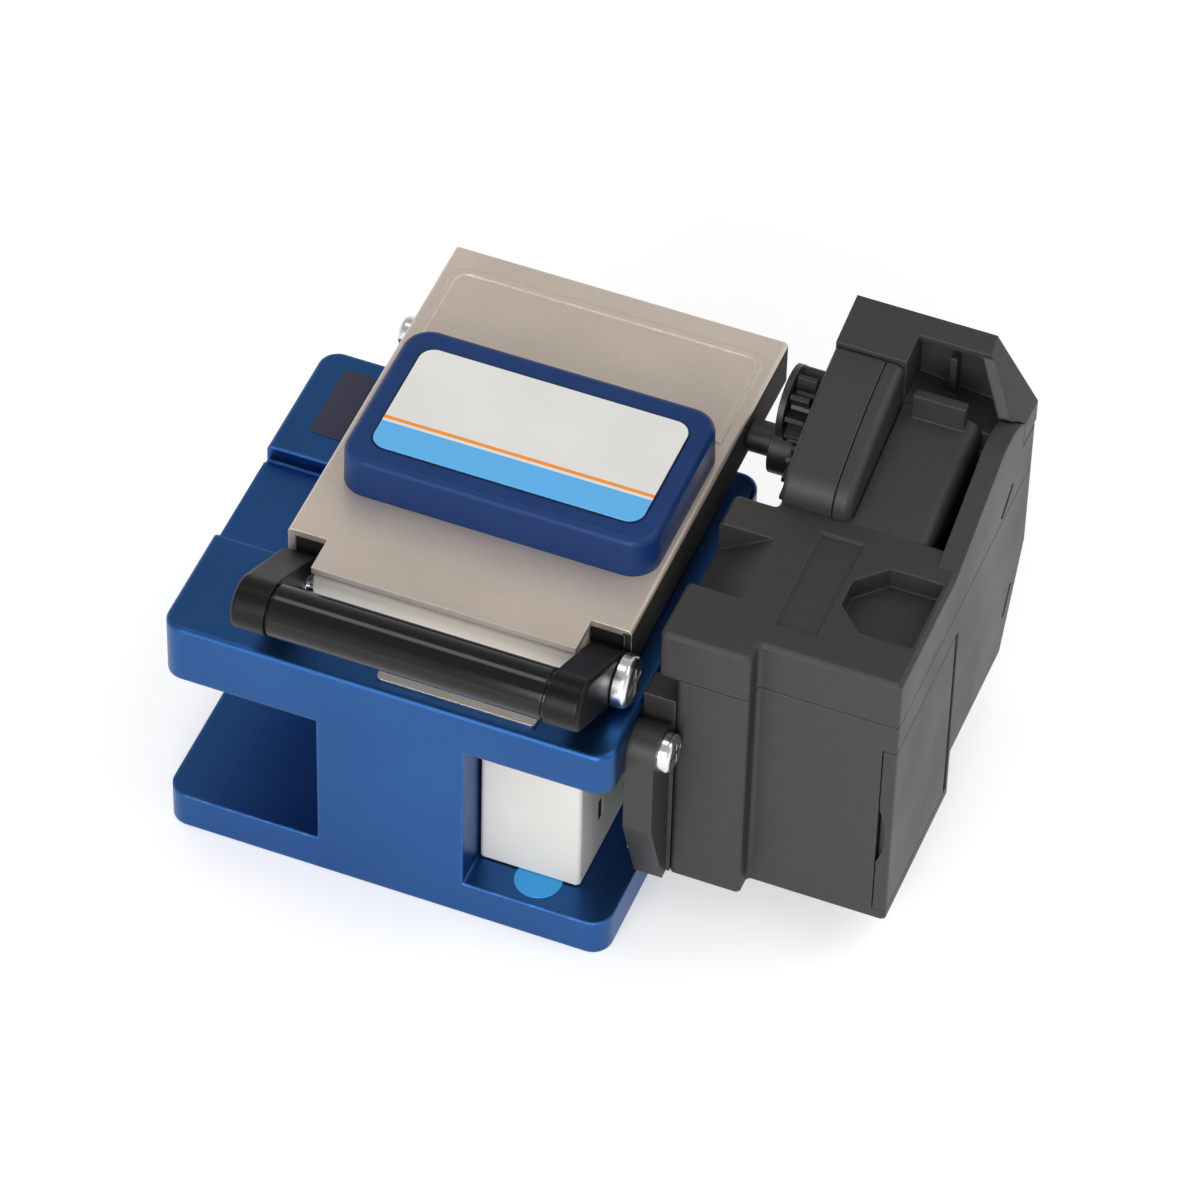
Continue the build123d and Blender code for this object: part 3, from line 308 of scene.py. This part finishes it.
class EdgeWearAndGlint(Effect):
    """Rounded edge normals, and a broken mask at edges for rubbed wear and painted highlight."""

    name = "edge wear"
    takes = {"Vector": "Vector", "Radius": "Float", "Amount": "Float"}
    gives = {"Mask": "Float", "Normal": "Vector"}
    samples: int = 6
    turn_part: Pair = (0.02, 0.22)
    noise_scale: float = 620.0
    noise_detail: float = 3.0
    noise_part: Pair = (0.38, 0.62)
    noise_level: Pair = (0.35, 1.0)

    def fill(self, graph: Graph, given: Outputs, result: bpy.types.Node) -> None:
        """The mask is one minus the cosine between the rounded and the plain normal, broken up by noise.

        Args:
            graph: Calls on the group's tree.
            given: Values that come into the group.
            result: The group's output node.
        """
        rounded = graph.node("ShaderNodeBevel", {"Radius": given["Radius"]}, samples=self.samples).outputs[0]
        plain = graph.node("ShaderNodeNewGeometry").outputs["Normal"]
        cosine = graph.vector("DOT_PRODUCT", rounded, plain)["Value"]
        turn = graph.spread(graph.math("SUBTRACT", 1.0, cosine), self.turn_part, UNIT)
        noise = graph.noise(given["Vector"], self.noise_scale, self.noise_detail)
        broken = graph.math("MULTIPLY", turn, graph.spread(noise, self.noise_part, self.noise_level))
        graph.put(result, {"Mask": graph.math("MULTIPLY", broken, given["Amount"], True), "Normal": rounded})


@dataclass(frozen=True)
class Finish:
    """One finish of the cleaver: colour, gloss, small relief, and edge wear with a painted edge highlight."""

    name: str
    colour: Colour
    shade: Colour
    edge: Colour
    rough: Pair
    metallic: float = 0.0
    texture: Texture = Texture.SPARK
    scale: float = 2500.0
    depth_mm: float = 0.02
    strength: float = 0.35
    wear_and_glint: float = 0.4
    round_mm: float = 0.25
    fleck: float = 0.0
    fleck_scale: float = 2200.0
    cloud_scale: float = 60.0
    specular: float = 0.5

    def material(self) -> bpy.types.Material:
        """Finds the finish's material, or builds it the first time.

        Returns:
            A procedural material with colour clouds, flecks, edge colour for wear and painted highlight,
            roughness and relief.
        """
        found = bpy.data.materials.get(self.name)
        if found:
            return found
        made = bpy.data.materials.new(self.name)
        made.use_nodes = True
        made.node_tree.nodes.clear()
        graph = Graph(made.node_tree)
        place = graph.node("ShaderNodeTexCoord").outputs["Object"]
        clouds = SurfaceClouds().place(graph, {"Vector": place, "Size": self.cloud_scale,
                                               "Fleck Size": self.fleck_scale})
        relief = Relief(self.texture).place(graph, {"Vector": place, "Scale": self.scale})
        edges = EdgeWearAndGlint().place(graph, {"Vector": place, "Radius": self.round_mm * MM, "Amount": self.wear_and_glint})
        # The edge colour mixed in by the edge mask is partly rubbed wear and partly a painted highlight along
        # rounded edges.
        tone = graph.mix(edges["Mask"], self.tone(graph, clouds, place), self.edge)
        bump = graph.node("ShaderNodeBump", {"Strength": self.strength, "Distance": self.depth_mm * MM,
                                             "Height": relief["Height"], "Normal": edges["Normal"]})
        metallic, rough = self.shine(graph, clouds, place)
        shader = graph.node("ShaderNodeBsdfPrincipled", {
            "Base Color": tone, "Roughness": rough, "Metallic": metallic, "Specular IOR Level": self.specular,
            "Normal": bump.outputs[0]})
        graph.node("ShaderNodeOutputMaterial", {"Surface": shader.outputs[0]})
        return made

    def tone(self, graph: Graph, clouds: Outputs, place: Socket) -> Socket:
        """Colour before the edges are worn: clouds between two tones, with flecks.

        Args:
            graph: Calls on the material's tree.
            clouds: Outputs of the clouds group.
            place: Object coordinates, not used here.

        Returns:
            The colour's socket.
        """
        base = graph.mix(clouds["Cloud"], self.shade, self.colour)
        if self.fleck == 0.0:
            return base
        return graph.mix(graph.math("MULTIPLY", clouds["Fleck"], self.fleck), base, self.edge)

    def shine(self, graph: Graph, clouds: Outputs, place: Socket) -> tuple[Value, Socket]:
        """Metallic share, and roughness that follows the clouds."""
        return self.metallic, graph.spread(clouds["Cloud"], UNIT, self.rough)


@dataclass(frozen=True)
class PrintedLabel(Finish):
    """White film with a plain band along its front edge and a thin line above it."""

    band: Colour = (0.10, 0.42, 0.80)
    line: Colour = (0.86, 0.28, 0.03)
    band_top: float = 0.24
    line_low: float = 0.265
    line_top: float = 0.295

    def tone(self, graph: Graph, clouds: Outputs, place: Socket) -> Socket:
        """White, with the band and the line chosen by the label's own V coordinate.

        Args:
            graph: Calls on the material's tree.
            clouds: Outputs of the clouds group.
            place: Object coordinates, not used here.

        Returns:
            The colour's socket.
        """
        film = graph.mix(clouds["Cloud"], self.shade, self.colour)
        plan = graph.node("ShaderNodeUVMap", uv_map=PLAN_MAP).outputs[0]
        height = graph.node("ShaderNodeSeparateXYZ", {0: plan}).outputs[1]
        film = graph.mix(graph.math("LESS_THAN", height, self.band_top), film, self.band)
        above = graph.math("GREATER_THAN", height, self.line_low)
        below = graph.math("LESS_THAN", height, self.line_top)
        return graph.mix(graph.math("MULTIPLY", above, below), film, self.line)


@dataclass(frozen=True)
class PaintedShadeFinish(Finish):
    """Finish that paints shade, dark and matt, inside a box, such as a slot. The box is in metres."""

    box_middle: Triple = (0.0, 0.0, 0.0)
    box_half: Triple = (0.0, 0.0, 0.0)
    dark: Colour = (0.010, 0.010, 0.010)
    dark_rough: float = 0.95

    def darkened(self, low: Vector, high: Vector) -> "PaintedShadeFinish":
        """Same finish with its box between two corners, given as the lowest and the highest."""
        return replace(self, box_middle=tuple((low + high) / 2), box_half=tuple((high - low) / 2))

    def inside(self, graph: Graph, place: Socket) -> Socket:
        """Mask of the box: all three distances from its middle are under its half size.

        Args:
            graph: Calls on the material's tree.
            place: Object coordinates.

        Returns:
            The mask's socket.
        """
        offset = graph.vector("SUBTRACT", place, self.box_middle)["Vector"]
        away = graph.node("ShaderNodeSeparateXYZ", {0: graph.vector("ABSOLUTE", offset)["Vector"]}).outputs
        x, y, z = [graph.math("LESS_THAN", part, half) for part, half in zip(away, self.box_half)]
        return graph.math("MULTIPLY", graph.math("MULTIPLY", x, y), z)

    def tone(self, graph: Graph, clouds: Outputs, place: Socket) -> Socket:
        """Plain colour, with painted shade in the box."""
        return graph.mix(self.inside(graph, place), super().tone(graph, clouds, place), self.dark)

    def shine(self, graph: Graph, clouds: Outputs, place: Socket) -> tuple[Value, Socket]:
        """Metallic share and roughness, with no metal and a matt surface in the box.

        Args:
            graph: Calls on the material's tree.
            clouds: Outputs of the clouds group.
            place: Object coordinates.

        Returns:
            Sockets of the metallic share and of the roughness.
        """
        metallic, rough = super().shine(graph, clouds, place)
        inside = self.inside(graph, place)
        matt = graph.math("MAXIMUM", rough, graph.math("MULTIPLY", inside, self.dark_rough))
        return graph.math("MULTIPLY", graph.math("SUBTRACT", 1.0, inside), metallic), matt


# Each edge colour is partly rubbed wear and partly painted highlight; on the blue frame (bright blue) and the
# lid sheet (near white) it is mostly a painted rim highlight.
BLUE_ANODISED = Finish(
    "blue anodised frame", colour=(0.030, 0.104, 0.300), shade=(0.0255, 0.0905, 0.264), edge=(0.10, 0.30, 0.80),
    rough=(0.34, 0.42), metallic=1.0, texture=Texture.BLASTED, scale=5200.0, depth_mm=0.012, strength=0.30,
    wear_and_glint=0.50, round_mm=0.8, fleck=0.04, fleck_scale=5200.0, cloud_scale=35.0)
# The dark box colour here is painted shade and a painted dark reflection of the collector on the lid's right
# flank.
LID_NICKEL = PaintedShadeFinish(
    "warm nickel sheet", colour=(0.68, 0.580, 0.495), shade=(0.62, 0.53, 0.452), edge=(0.97, 0.94, 0.89),
    rough=(0.31, 0.39), metallic=0.5, texture=Texture.BLASTED, scale=3800.0, depth_mm=0.02, strength=0.40,
    wear_and_glint=0.9, round_mm=0.30, fleck=0.12, fleck_scale=3600.0, cloud_scale=45.0, dark=(0.020, 0.017, 0.015))
# The dark box colour on the block behind the nose is painted shade under the lid sheet.
NOSE_BLOCK = PaintedShadeFinish(
    "pale nose, dark block", colour=(0.97, 0.90, 0.79), shade=(0.94, 0.87, 0.76), edge=(0.97, 0.94, 0.88),
    rough=(0.42, 0.52), texture=Texture.BLASTED, scale=4200.0, depth_mm=0.012, strength=0.25, wear_and_glint=0.3,
    round_mm=0.3, fleck=0.1, fleck_scale=3600.0, cloud_scale=45.0)
PALE_BLOCK = Finish(
    "pale machined block", colour=(0.82, 0.76, 0.67), shade=(0.77, 0.71, 0.62), edge=(0.90, 0.87, 0.81),
    rough=(0.42, 0.52), metallic=0.35, texture=Texture.BLASTED, scale=4200.0, depth_mm=0.012, strength=0.25,
    wear_and_glint=0.3, round_mm=0.3, fleck=0.1, fleck_scale=3600.0, cloud_scale=45.0)
GROUND_STEEL = Finish(
    "ground steel", colour=(0.61, 0.585, 0.55), shade=(0.53, 0.51, 0.48), edge=(0.78, 0.76, 0.73),
    rough=(0.24, 0.36), metallic=1.0, texture=Texture.DRAWN, scale=5200.0, depth_mm=0.008, strength=0.35,
    wear_and_glint=0.3, round_mm=0.2)
BLADE_STEEL = Finish(
    "lapped blade steel", colour=(0.66, 0.67, 0.70), shade=(0.60, 0.61, 0.64), edge=(0.85, 0.85, 0.87),
    rough=(0.12, 0.20), metallic=1.0, texture=Texture.DRAWN, scale=6000.0, depth_mm=0.004, strength=0.25,
    wear_and_glint=0.3, round_mm=0.08)
BRIGHT_PLATE = Finish(
    "bright plated screw", colour=(0.80, 0.80, 0.81), shade=(0.72, 0.72, 0.73), edge=(0.90, 0.90, 0.90),
    rough=(0.16, 0.28), metallic=1.0, texture=Texture.BLASTED, scale=3600.0, depth_mm=0.006, strength=0.2,
    wear_and_glint=0.25, round_mm=0.15)
NAVY_PAD = Finish(
    "navy moulded pad", colour=(0.007, 0.036, 0.145), shade=(0.006, 0.030, 0.125), edge=(0.045, 0.12, 0.32),
    rough=(0.34, 0.44), scale=2600.0, depth_mm=0.015, strength=0.25, wear_and_glint=0.30, round_mm=0.5, cloud_scale=50.0,
    specular=0.22)
BLACK_LEVER = Finish(
    "satin black lever", colour=(0.0045, 0.0043, 0.0040), shade=(0.0032, 0.0031, 0.0029),
    edge=(0.05, 0.048, 0.045), rough=(0.07, 0.11), texture=Texture.SOFT, scale=2200.0, depth_mm=0.004,
    strength=0.10, wear_and_glint=0.35, round_mm=0.4, specular=0.35)
BLACK_ARM = replace(BLACK_LEVER, name="matt black arm", rough=(0.32, 0.42), specular=0.2)
SLIDER_GREY = PaintedShadeFinish(
    "light grey slider", colour=(0.61, 0.60, 0.57), shade=(0.56, 0.55, 0.52), edge=(0.82, 0.82, 0.80),
    rough=(0.40, 0.50), scale=3000.0, depth_mm=0.012, strength=0.2, wear_and_glint=0.25, round_mm=0.3)
CHARCOAL = Finish(
    "charcoal moulding", colour=(0.0243, 0.0230, 0.0210), shade=(0.0200, 0.0189, 0.0172),
    edge=(0.100, 0.096, 0.091), rough=(0.46, 0.58), scale=2300.0, depth_mm=0.030, strength=0.35, wear_and_glint=0.40,
    round_mm=0.45, fleck=0.08, fleck_scale=2600.0, cloud_scale=55.0)
GEAR_BLACK = Finish(
    "black gear plastic", colour=(0.014, 0.014, 0.014), shade=(0.011, 0.011, 0.011), edge=(0.07, 0.07, 0.07),
    rough=(0.38, 0.50), texture=Texture.SOFT, scale=2600.0, depth_mm=0.012, strength=0.25, wear_and_glint=0.35,
    round_mm=0.2)
PAD_RUBBER = Finish(
    "clamp rubber", colour=(0.030, 0.030, 0.030), shade=(0.022, 0.022, 0.022), edge=(0.08, 0.08, 0.08),
    rough=(0.62, 0.78), texture=Texture.SOFT, scale=1800.0, depth_mm=0.03, strength=0.4, wear_and_glint=0.25,
    round_mm=0.25)
LABEL_FILM = PrintedLabel(
    "label film", colour=(0.755, 0.75, 0.725), shade=(0.705, 0.70, 0.675), edge=(0.88, 0.88, 0.86),
    rough=(0.26, 0.36), texture=Texture.SOFT, scale=1500.0, depth_mm=0.006, strength=0.12, wear_and_glint=0.1,
    round_mm=0.1)
# Painted shadow: a thin dark navy line around the label stands in for the shade at the edge of the label's
# recess.
PAINTED_LABEL_SHADOW = replace(
    NAVY_PAD, name="label seat", colour=(0.003, 0.010, 0.040), shade=(0.003, 0.008, 0.034), wear_and_glint=0.0)
DARK_PLATE = Finish(
    "dark bare plate", colour=(0.022, 0.022, 0.058), shade=(0.018, 0.018, 0.048), edge=(0.16, 0.16, 0.24),
    rough=(0.32, 0.44), texture=Texture.SOFT, scale=2400.0, depth_mm=0.008, strength=0.2, wear_and_glint=0.3,
    round_mm=0.1)
SKY_DISC = Finish(
    "sky blue disc", colour=(0.03, 0.34, 0.74), shade=(0.025, 0.30, 0.68), edge=(0.25, 0.55, 0.82),
    rough=(0.42, 0.55), texture=Texture.SOFT, scale=2400.0, depth_mm=0.010, strength=0.2, wear_and_glint=0.2,
    round_mm=0.1)


@dataclass
class ThinPlate:
    """Thin plate with a rounded outline and a softened rim, lying flat. Sizes are in metres."""

    name: str
    finish: Finish
    body: str
    slot: str
    low: Pair
    high: Pair
    floor: float
    corner: float
    thick: float = 0.15 * MM
    rim: float = 0.06 * MM
    around: int = 96
    rim_steps: int = 5
    inner_share: float = 0.5

    def outline(self, shrink: float) -> np.ndarray:
        """Rounded rectangle, one point for each angle.

        A point is its quarter's corner centre plus the corner radius times the unit vector at the
        angle, so the straight sides are the steps from one corner's last point to the next one's first.

        Args:
            shrink: Distance that the outline is moved inwards.

        Returns:
            Points in the plan, one row each.
        """
        angle = (np.arange(self.around) + 0.5) * 2 * math.pi / self.around
        unit = np.stack([np.cos(angle), np.sin(angle)], axis=1)
        half = (np.array(self.high) - np.array(self.low)) / 2
        middle = (np.array(self.high) + np.array(self.low)) / 2
        return middle + np.sign(unit) * (half - self.corner) + unit * (self.corner - shrink)

    def rings(self) -> np.ndarray:
        """Rings of points up the side, over the rim by a quarter circle and onto the top.

        Returns:
            An array of ring, point and coordinate.
        """
        turn = np.linspace(0.0, math.pi / 2, self.rim_steps)
        shrink = np.concatenate([[0.0], self.rim * (1 - np.cos(turn)), [self.corner * self.inner_share]])
        height = np.concatenate([[0.0], self.thick - self.rim + self.rim * np.sin(turn), [self.thick]])
        flat = np.stack([self.outline(s) for s in shrink])
        level = np.broadcast_to((self.floor + height)[:, None, None], (*flat.shape[:2], 1))
        return np.concatenate([flat, level], axis=2)

    def build(self) -> bpy.types.Object:
        """Makes the mesh with its plan UV map, dresses it and rides it on its body.

        Returns:
            The plate's object.
        """
        grid = self.rings()
        count, around = grid.shape[:2]
        index = np.arange(count * around).reshape(count, around)
        after = np.roll(index, -1, axis=1)
        quads = np.stack([index[:-1], after[:-1], after[1:], index[1:]], axis=2).reshape(-1, 4)
        faces = quads.tolist() + [index[-1].tolist(), index[0][::-1].tolist()]
        mesh = bpy.data.meshes.new(self.name)
        mesh.from_pydata(grid.reshape(-1, 3).tolist(), [], faces)
        self.unwrap(mesh, grid.reshape(-1, 3))
        mesh.materials.append(self.finish.material())
        made = bpy.data.objects.new(self.name, mesh)
        bpy.context.scene.collection.objects.link(made)
        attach(made, self.body)
        LOG.info("plate %s rides on %s", self.name, self.body)
        return made

    def unwrap(self, mesh: bpy.types.Mesh, points: np.ndarray) -> None:
        """Writes a UV map from the plan: 0 to 1 across the width and the depth.

        Args:
            mesh: The plate's mesh.
            points: Its vertices.
        """
        corner = np.zeros(len(mesh.loops), np.int32)
        mesh.loops.foreach_get("vertex_index", corner)
        size = np.array(self.high) - np.array(self.low)
        plan = (points[:, :2] - np.array(self.low)) / size
        layer = mesh.uv_layers.new(name=PLAN_MAP)
        layer.data.foreach_set("uv", plan[corner].astype(np.float32).ravel())


@dataclass
class SubAssembly:
    """CAD nodes that belong together, with the finish of each."""

    nodes: dict[str, bpy.types.Object]

    def finishes(self) -> dict[str, Finish]:
        """Finish of each CAD node."""
        return {}

    def build(self) -> None:
        """Adds the sub-assembly's own pieces, if it has any."""

    def dress(self) -> None:
        """Gives every CAD node of the sub-assembly its material."""
        for name, finish in self.finishes().items():
            mesh = self.nodes[name].data
            mesh.materials.clear()
            mesh.materials.append(finish.material())
            LOG.info("node %s: %s", name, finish.name)


@dataclass
class MainFrame(SubAssembly):
    """Blue frame with its strike plate, lower pads, hinge block, a dark plate and a floor disc."""

    plate_side: float = 4.6 * MM
    plate_size: Pair = (8.4 * MM, 14.4 * MM)
    plate_back: float = 3.4 * MM
    plate_corner: float = 1.4 * MM
    disc_middle: Pair = (23.1 * MM, -26.3 * MM)
    disc_radius: float = 3.7 * MM
    disc_flat: float = 0.001 * MM
    base_top: float = 6.8 * MM

    def finishes(self) -> dict[str, Finish]:
        """Finish of each CAD node."""
        return {"main_frame": BLUE_ANODISED, "strike_plate": GROUND_STEEL, "lower_pad_left": PAD_RUBBER,
                "lower_pad_right": PAD_RUBBER, "hinge_block": PALE_BLOCK, "hinge_screws": BRIGHT_PLATE}

    def build(self) -> None:
        """Adds the plate on the rear left of the top and the disc on the base."""
        low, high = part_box("main_frame")
        x0 = low.x + self.plate_side
        y1 = high.y - self.plate_back
        width, depth = self.plate_size
        ThinPlate("rear_plate", DARK_PLATE, "base", "black", (x0, y1 - depth), (x0 + width, y1), high.z,
                  self.plate_corner).build()
        x, y = self.disc_middle
        r = self.disc_radius
        ThinPlate("floor_disc", SKY_DISC, "base", "grey_plastic", (x - r, y - r), (x + r, y + r),
                  self.base_top, r - self.disc_flat).build()


@dataclass
class Lid(SubAssembly):
    """Hinged lid with its press pad, label, block and clamps."""

    label_sides: Pair = (3.8 * MM, 3.4 * MM)
    label_ends: Pair = (3.9 * MM, 4.5 * MM)
    label_corner: float = 2.5 * MM
    shadow_line_width: float = 0.3 * MM
    shadow_plate_thick: float = 0.06 * MM
    nose_length: float = 6.3 * MM
    flank_wide: float = 1.4 * MM
    flank_drop: float = 0.9 * MM
    margin: float = 1.0 * MM

    def nose(self) -> PaintedShadeFinish:
        """Block finish that is pale on the nose, with painted shade on the block behind it, under the lid
        sheet.

        Returns:
            The finish, with its box over all of the block behind the nose.
        """
        low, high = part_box("lid_block")
        skin = Vector((self.margin,) * 3)
        start = Vector((low.x - self.margin, low.y + self.nose_length, low.z - self.margin))
        return NOSE_BLOCK.darkened(start, high + skin)

    def shaded_flank(self) -> PaintedShadeFinish:
        """Sheet finish with painted shade and a painted dark reflection of the collector on the right flank,
        from its bend down.

        Returns:
            The finish, with its box over the flank.
        """
        low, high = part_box("lid_plate")
        start = Vector((high.x - self.flank_wide, low.y - self.margin, low.z - self.margin))
        end = Vector((high.x + self.margin, high.y + self.margin, high.z - self.flank_drop))
        return LID_NICKEL.darkened(start, end)

    def finishes(self) -> dict[str, Finish]:
        """Finish of each CAD node."""
        return {"lid_plate": self.shaded_flank(), "lid_block": self.nose(), "lid_magnet": BRIGHT_PLATE,
                "press_pad": NAVY_PAD, "press_screws": BRIGHT_PLATE, "upper_pad_left": PAD_RUBBER,
                "upper_pad_right": PAD_RUBBER, "anvil": GROUND_STEEL, "hinge_pin": BRIGHT_PLATE,
                "lever_screws": BRIGHT_PLATE}

    def build(self) -> None:
        """Adds the label on top of the press pad, on a thin dark plate that paints the shadow of the pad's
        recess edge as a thin line around it.
        """
        low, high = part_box("press_pad")
        near = np.array((low.x + self.label_sides[0], low.y + self.label_ends[0]))
        far = np.array((high.x - self.label_sides[1], high.y - self.label_ends[1]))
        edge = self.shadow_line_width
        ThinPlate("label_seat", PAINTED_LABEL_SHADOW, "lid", "navy_plastic", tuple(near - edge), tuple(far + edge),
                  high.z, self.label_corner + edge, self.shadow_plate_thick, self.shadow_plate_thick / 2).build()
        ThinPlate("press_label", LABEL_FILM, "lid", "navy_plastic", tuple(near), tuple(far),
                  high.z + self.shadow_plate_thick, self.label_corner).build()


@dataclass
class Lever(SubAssembly):
    """Lifting lever at the front of the lid."""

    def finishes(self) -> dict[str, Finish]:
        """Finish of each CAD node."""
        return {"lever_arm_left": BLACK_ARM, "lever_arm_right": BLACK_ARM, "lever_bar": BLACK_LEVER}


@dataclass
class Slider(SubAssembly):
    """Blade slider with its rail, fork, blade wheel and axle, and painted shade in the slot in its right side.
    """

    slot_back: float = 8.2 * MM
    slot_rise: Pair = (7.0 * MM, 11.3 * MM)
    slot_width: float = 1.5 * MM
    slot_deep: float = 1.5 * MM
    slot_skin: float = 0.05 * MM

    def shaded_slot(self) -> PaintedShadeFinish:
        """Grey moulding with painted shade in its slot, placed on the slider just under the right face.

        Returns:
            The finish, with its box around the slot.
        """
        low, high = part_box("slider_block")
        skin = self.slot_skin
        half = self.slot_width / 2 + skin
        y = low.y + self.slot_back
        start = Vector((high.x - self.slot_deep - skin, y - half, low.z + self.slot_rise[0] - skin))
        end = Vector((high.x - skin, y + half, low.z + self.slot_rise[1] + skin))
        # The box paints shade onto the slot's walls.
        return SLIDER_GREY.darkened(start, end)

    def finishes(self) -> dict[str, Finish]:
        """Finish of each CAD node."""
        return {"slider_block": self.shaded_slot(), "slide_rail": GROUND_STEEL, "rail_screws": BRIGHT_PLATE,
                "blade_holder": GROUND_STEEL, "blade_wheel": BLADE_STEEL, "blade_axle": GROUND_STEEL}


@dataclass
class Collector(SubAssembly):
    """Off-cut collector: bracket, case, door, cover, drum and hood."""

    mouldings: tuple[str, ...] = ("bracket", "collector_case", "bin_door", "collector_cover", "drum_shell",
                                  "drum_cap", "hood", "pinch_bracket")

    def finishes(self) -> dict[str, Finish]:
        """Finish of each CAD node."""
        return {**{name: CHARCOAL for name in self.mouldings}, "bracket_screw": BRIGHT_PLATE,
                "bracket_dowel": GROUND_STEEL, "door_pin": GROUND_STEEL}


@dataclass
class Drive(SubAssembly):
    """Gears and rollers between the lid and the collector."""

    def finishes(self) -> dict[str, Finish]:
        """Finish of each CAD node."""
        return {"lid_sector": GEAR_BLACK, "input_shaft": GEAR_BLACK, "idler_gear": GEAR_BLACK,
                "idler_axle": GROUND_STEEL, "roller_shaft": GEAR_BLACK, "feed_roller": PAD_RUBBER,
                "pinch_roller": PAD_RUBBER}


@dataclass
class Lamp:
    """Soft square lamp aimed at the object."""

    name: str
    place: Triple
    power: float
    size: float

    def build(self, target: Vector) -> None:
        """Makes the lamp.

        Args:
            target: Point that it faces.
        """
        data = bpy.data.lights.new(self.name, "AREA")
        data.energy = self.power
        data.size = self.size
        made = bpy.data.objects.new(self.name, data)
        made.location = self.place
        made.rotation_euler = (target - made.location).to_track_quat("-Z", "Y").to_euler()
        bpy.context.scene.collection.objects.link(made)


@dataclass
class Studio:
    """Pale floor, soft light and the camera at the photograph's angle."""

    eye: Vector = Vector((0.27022221, -0.66305211, 0.80238859))
    right: Vector = Vector((0.928895, 0.36985, 0.019127))
    down: Vector = Vector((0.282872, -0.675217, -0.681224))
    ahead: Vector = Vector((-0.239036, 0.638195, -0.731825))
    lens: float = 208.70598557828
    sensor: float = 36.0
    clip: Pair = (0.05, 20.0)
    aim: Vector = Vector((0.02, 0.0, 0.03))
    floor_size: float = 4.0
    floor_points: int = 9
    floor_white: float = 0.86
    floor_lift: float = 0.34
    horizon: float = 1.0
    zenith: float = 0.46
    sky_heights: Pair = (0.05, 0.72)
    lamps: list[Lamp] = field(default_factory=lambda: [
        Lamp("front lamp", (0.10, -1.05, 0.45), 9.0, 0.7),
        Lamp("right lamp", (0.70, 0.25, 0.95), 3.2, 0.7),
        Lamp("top lamp", (-0.24, 0.10, 1.0), 0.6, 0.25),
    ])

    def build(self) -> None:
        """Makes the whole studio and sets the scene's view transform."""
        self.camera()
        self.world()
        self.floor()
        for lamp in self.lamps:
            lamp.build(self.aim)
        bpy.context.scene.view_settings.view_transform = "Standard"
        LOG.info("studio: camera, sky, floor and %d lamps", len(self.lamps))

    def camera(self) -> None:
        """Camera with its axes taken from the fitted right, down and forward directions."""
        data = bpy.data.cameras.new("photo camera")
        data.lens = self.lens
        data.sensor_width = self.sensor
        data.clip_start, data.clip_end = self.clip
        made = bpy.data.objects.new("photo camera", data)
        axes = Matrix((self.right, -self.down, -self.ahead)).transposed().to_4x4()
        made.matrix_world = Matrix.Translation(self.eye) @ axes
        bpy.context.scene.collection.objects.link(made)
        bpy.context.scene.camera = made

    def world(self) -> None:
        """Sky that is white at the horizon and falls to a mid grey overhead."""
        world = bpy.data.worlds.new("soft room")
        world.use_nodes = True
        world.node_tree.nodes.clear()
        graph = Graph(world.node_tree)
        place = graph.node("ShaderNodeTexCoord").outputs["Generated"]
        height = graph.node("ShaderNodeSeparateXYZ", {0: place}).outputs[2]
        level = graph.spread(height, self.sky_heights, (self.horizon, self.zenith))
        sky = graph.node("ShaderNodeBackground", {"Color": (1.0, 1.0, 1.0, 1.0), "Strength": level})
        graph.node("ShaderNodeOutputWorld", {"Surface": sky.outputs[0]})
        bpy.context.scene.world = world

    def floor(self) -> None:
        """Flat square grid at height 0, dressed as white paper."""
        count = self.floor_points
        span = np.linspace(-self.floor_size, self.floor_size, count)
        x, y = np.meshgrid(span, span)
        points = np.stack([x, y, np.zeros_like(x)], axis=2).reshape(-1, 3)
        index = np.arange(count * count).reshape(count, count)
        corners = [index[:-1, :-1], index[:-1, 1:], index[1:, 1:], index[1:, :-1]]
        mesh = bpy.data.meshes.new("floor")
        mesh.from_pydata(points.tolist(), [], np.stack(corners, axis=2).reshape(-1, 4).tolist())
        mesh.materials.append(self.floor_paper())
        made = bpy.data.objects.new("floor", mesh)
        bpy.context.scene.collection.objects.link(made)

    def floor_paper(self) -> bpy.types.Material:
        """White paper that keeps the shadow, with a lift that camera, glossy and transmission rays see.

        Returns:
            The floor's material.
        """
        made = bpy.data.materials.new("floor paper")
        made.use_nodes = True
        made.node_tree.nodes.clear()
        graph = Graph(made.node_tree)
        path = graph.node("ShaderNodeLightPath").outputs
        seen = graph.math("ADD", path["Is Camera Ray"], path["Is Glossy Ray"])
        seen = graph.math("ADD", seen, path["Is Transmission Ray"], True)
        white = (self.floor_white,) * 3 + (1.0,)
        paper = graph.node("ShaderNodeBsdfDiffuse", {"Color": white})
        lift = graph.node("ShaderNodeEmission", {"Strength": graph.math("MULTIPLY", seen, self.floor_lift)})
        both = graph.node("ShaderNodeAddShader", {0: paper.outputs[0], 1: lift.outputs[0]})
        graph.node("ShaderNodeOutputMaterial", {"Surface": both.outputs[0]})
        return made


def main() -> None:
    """Loads the frame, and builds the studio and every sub-assembly."""
    logging.basicConfig(level=logging.INFO, format="%(message)s")
    for old in list(bpy.data.objects):
        bpy.data.objects.remove(old)
    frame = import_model()
    Studio().build()
    for kind in (MainFrame, Lid, Lever, Slider, Collector, Drive):
        part = kind(frame["nodes"])
        part.build()
        part.dress()


if __name__ == "__main__":
    main()
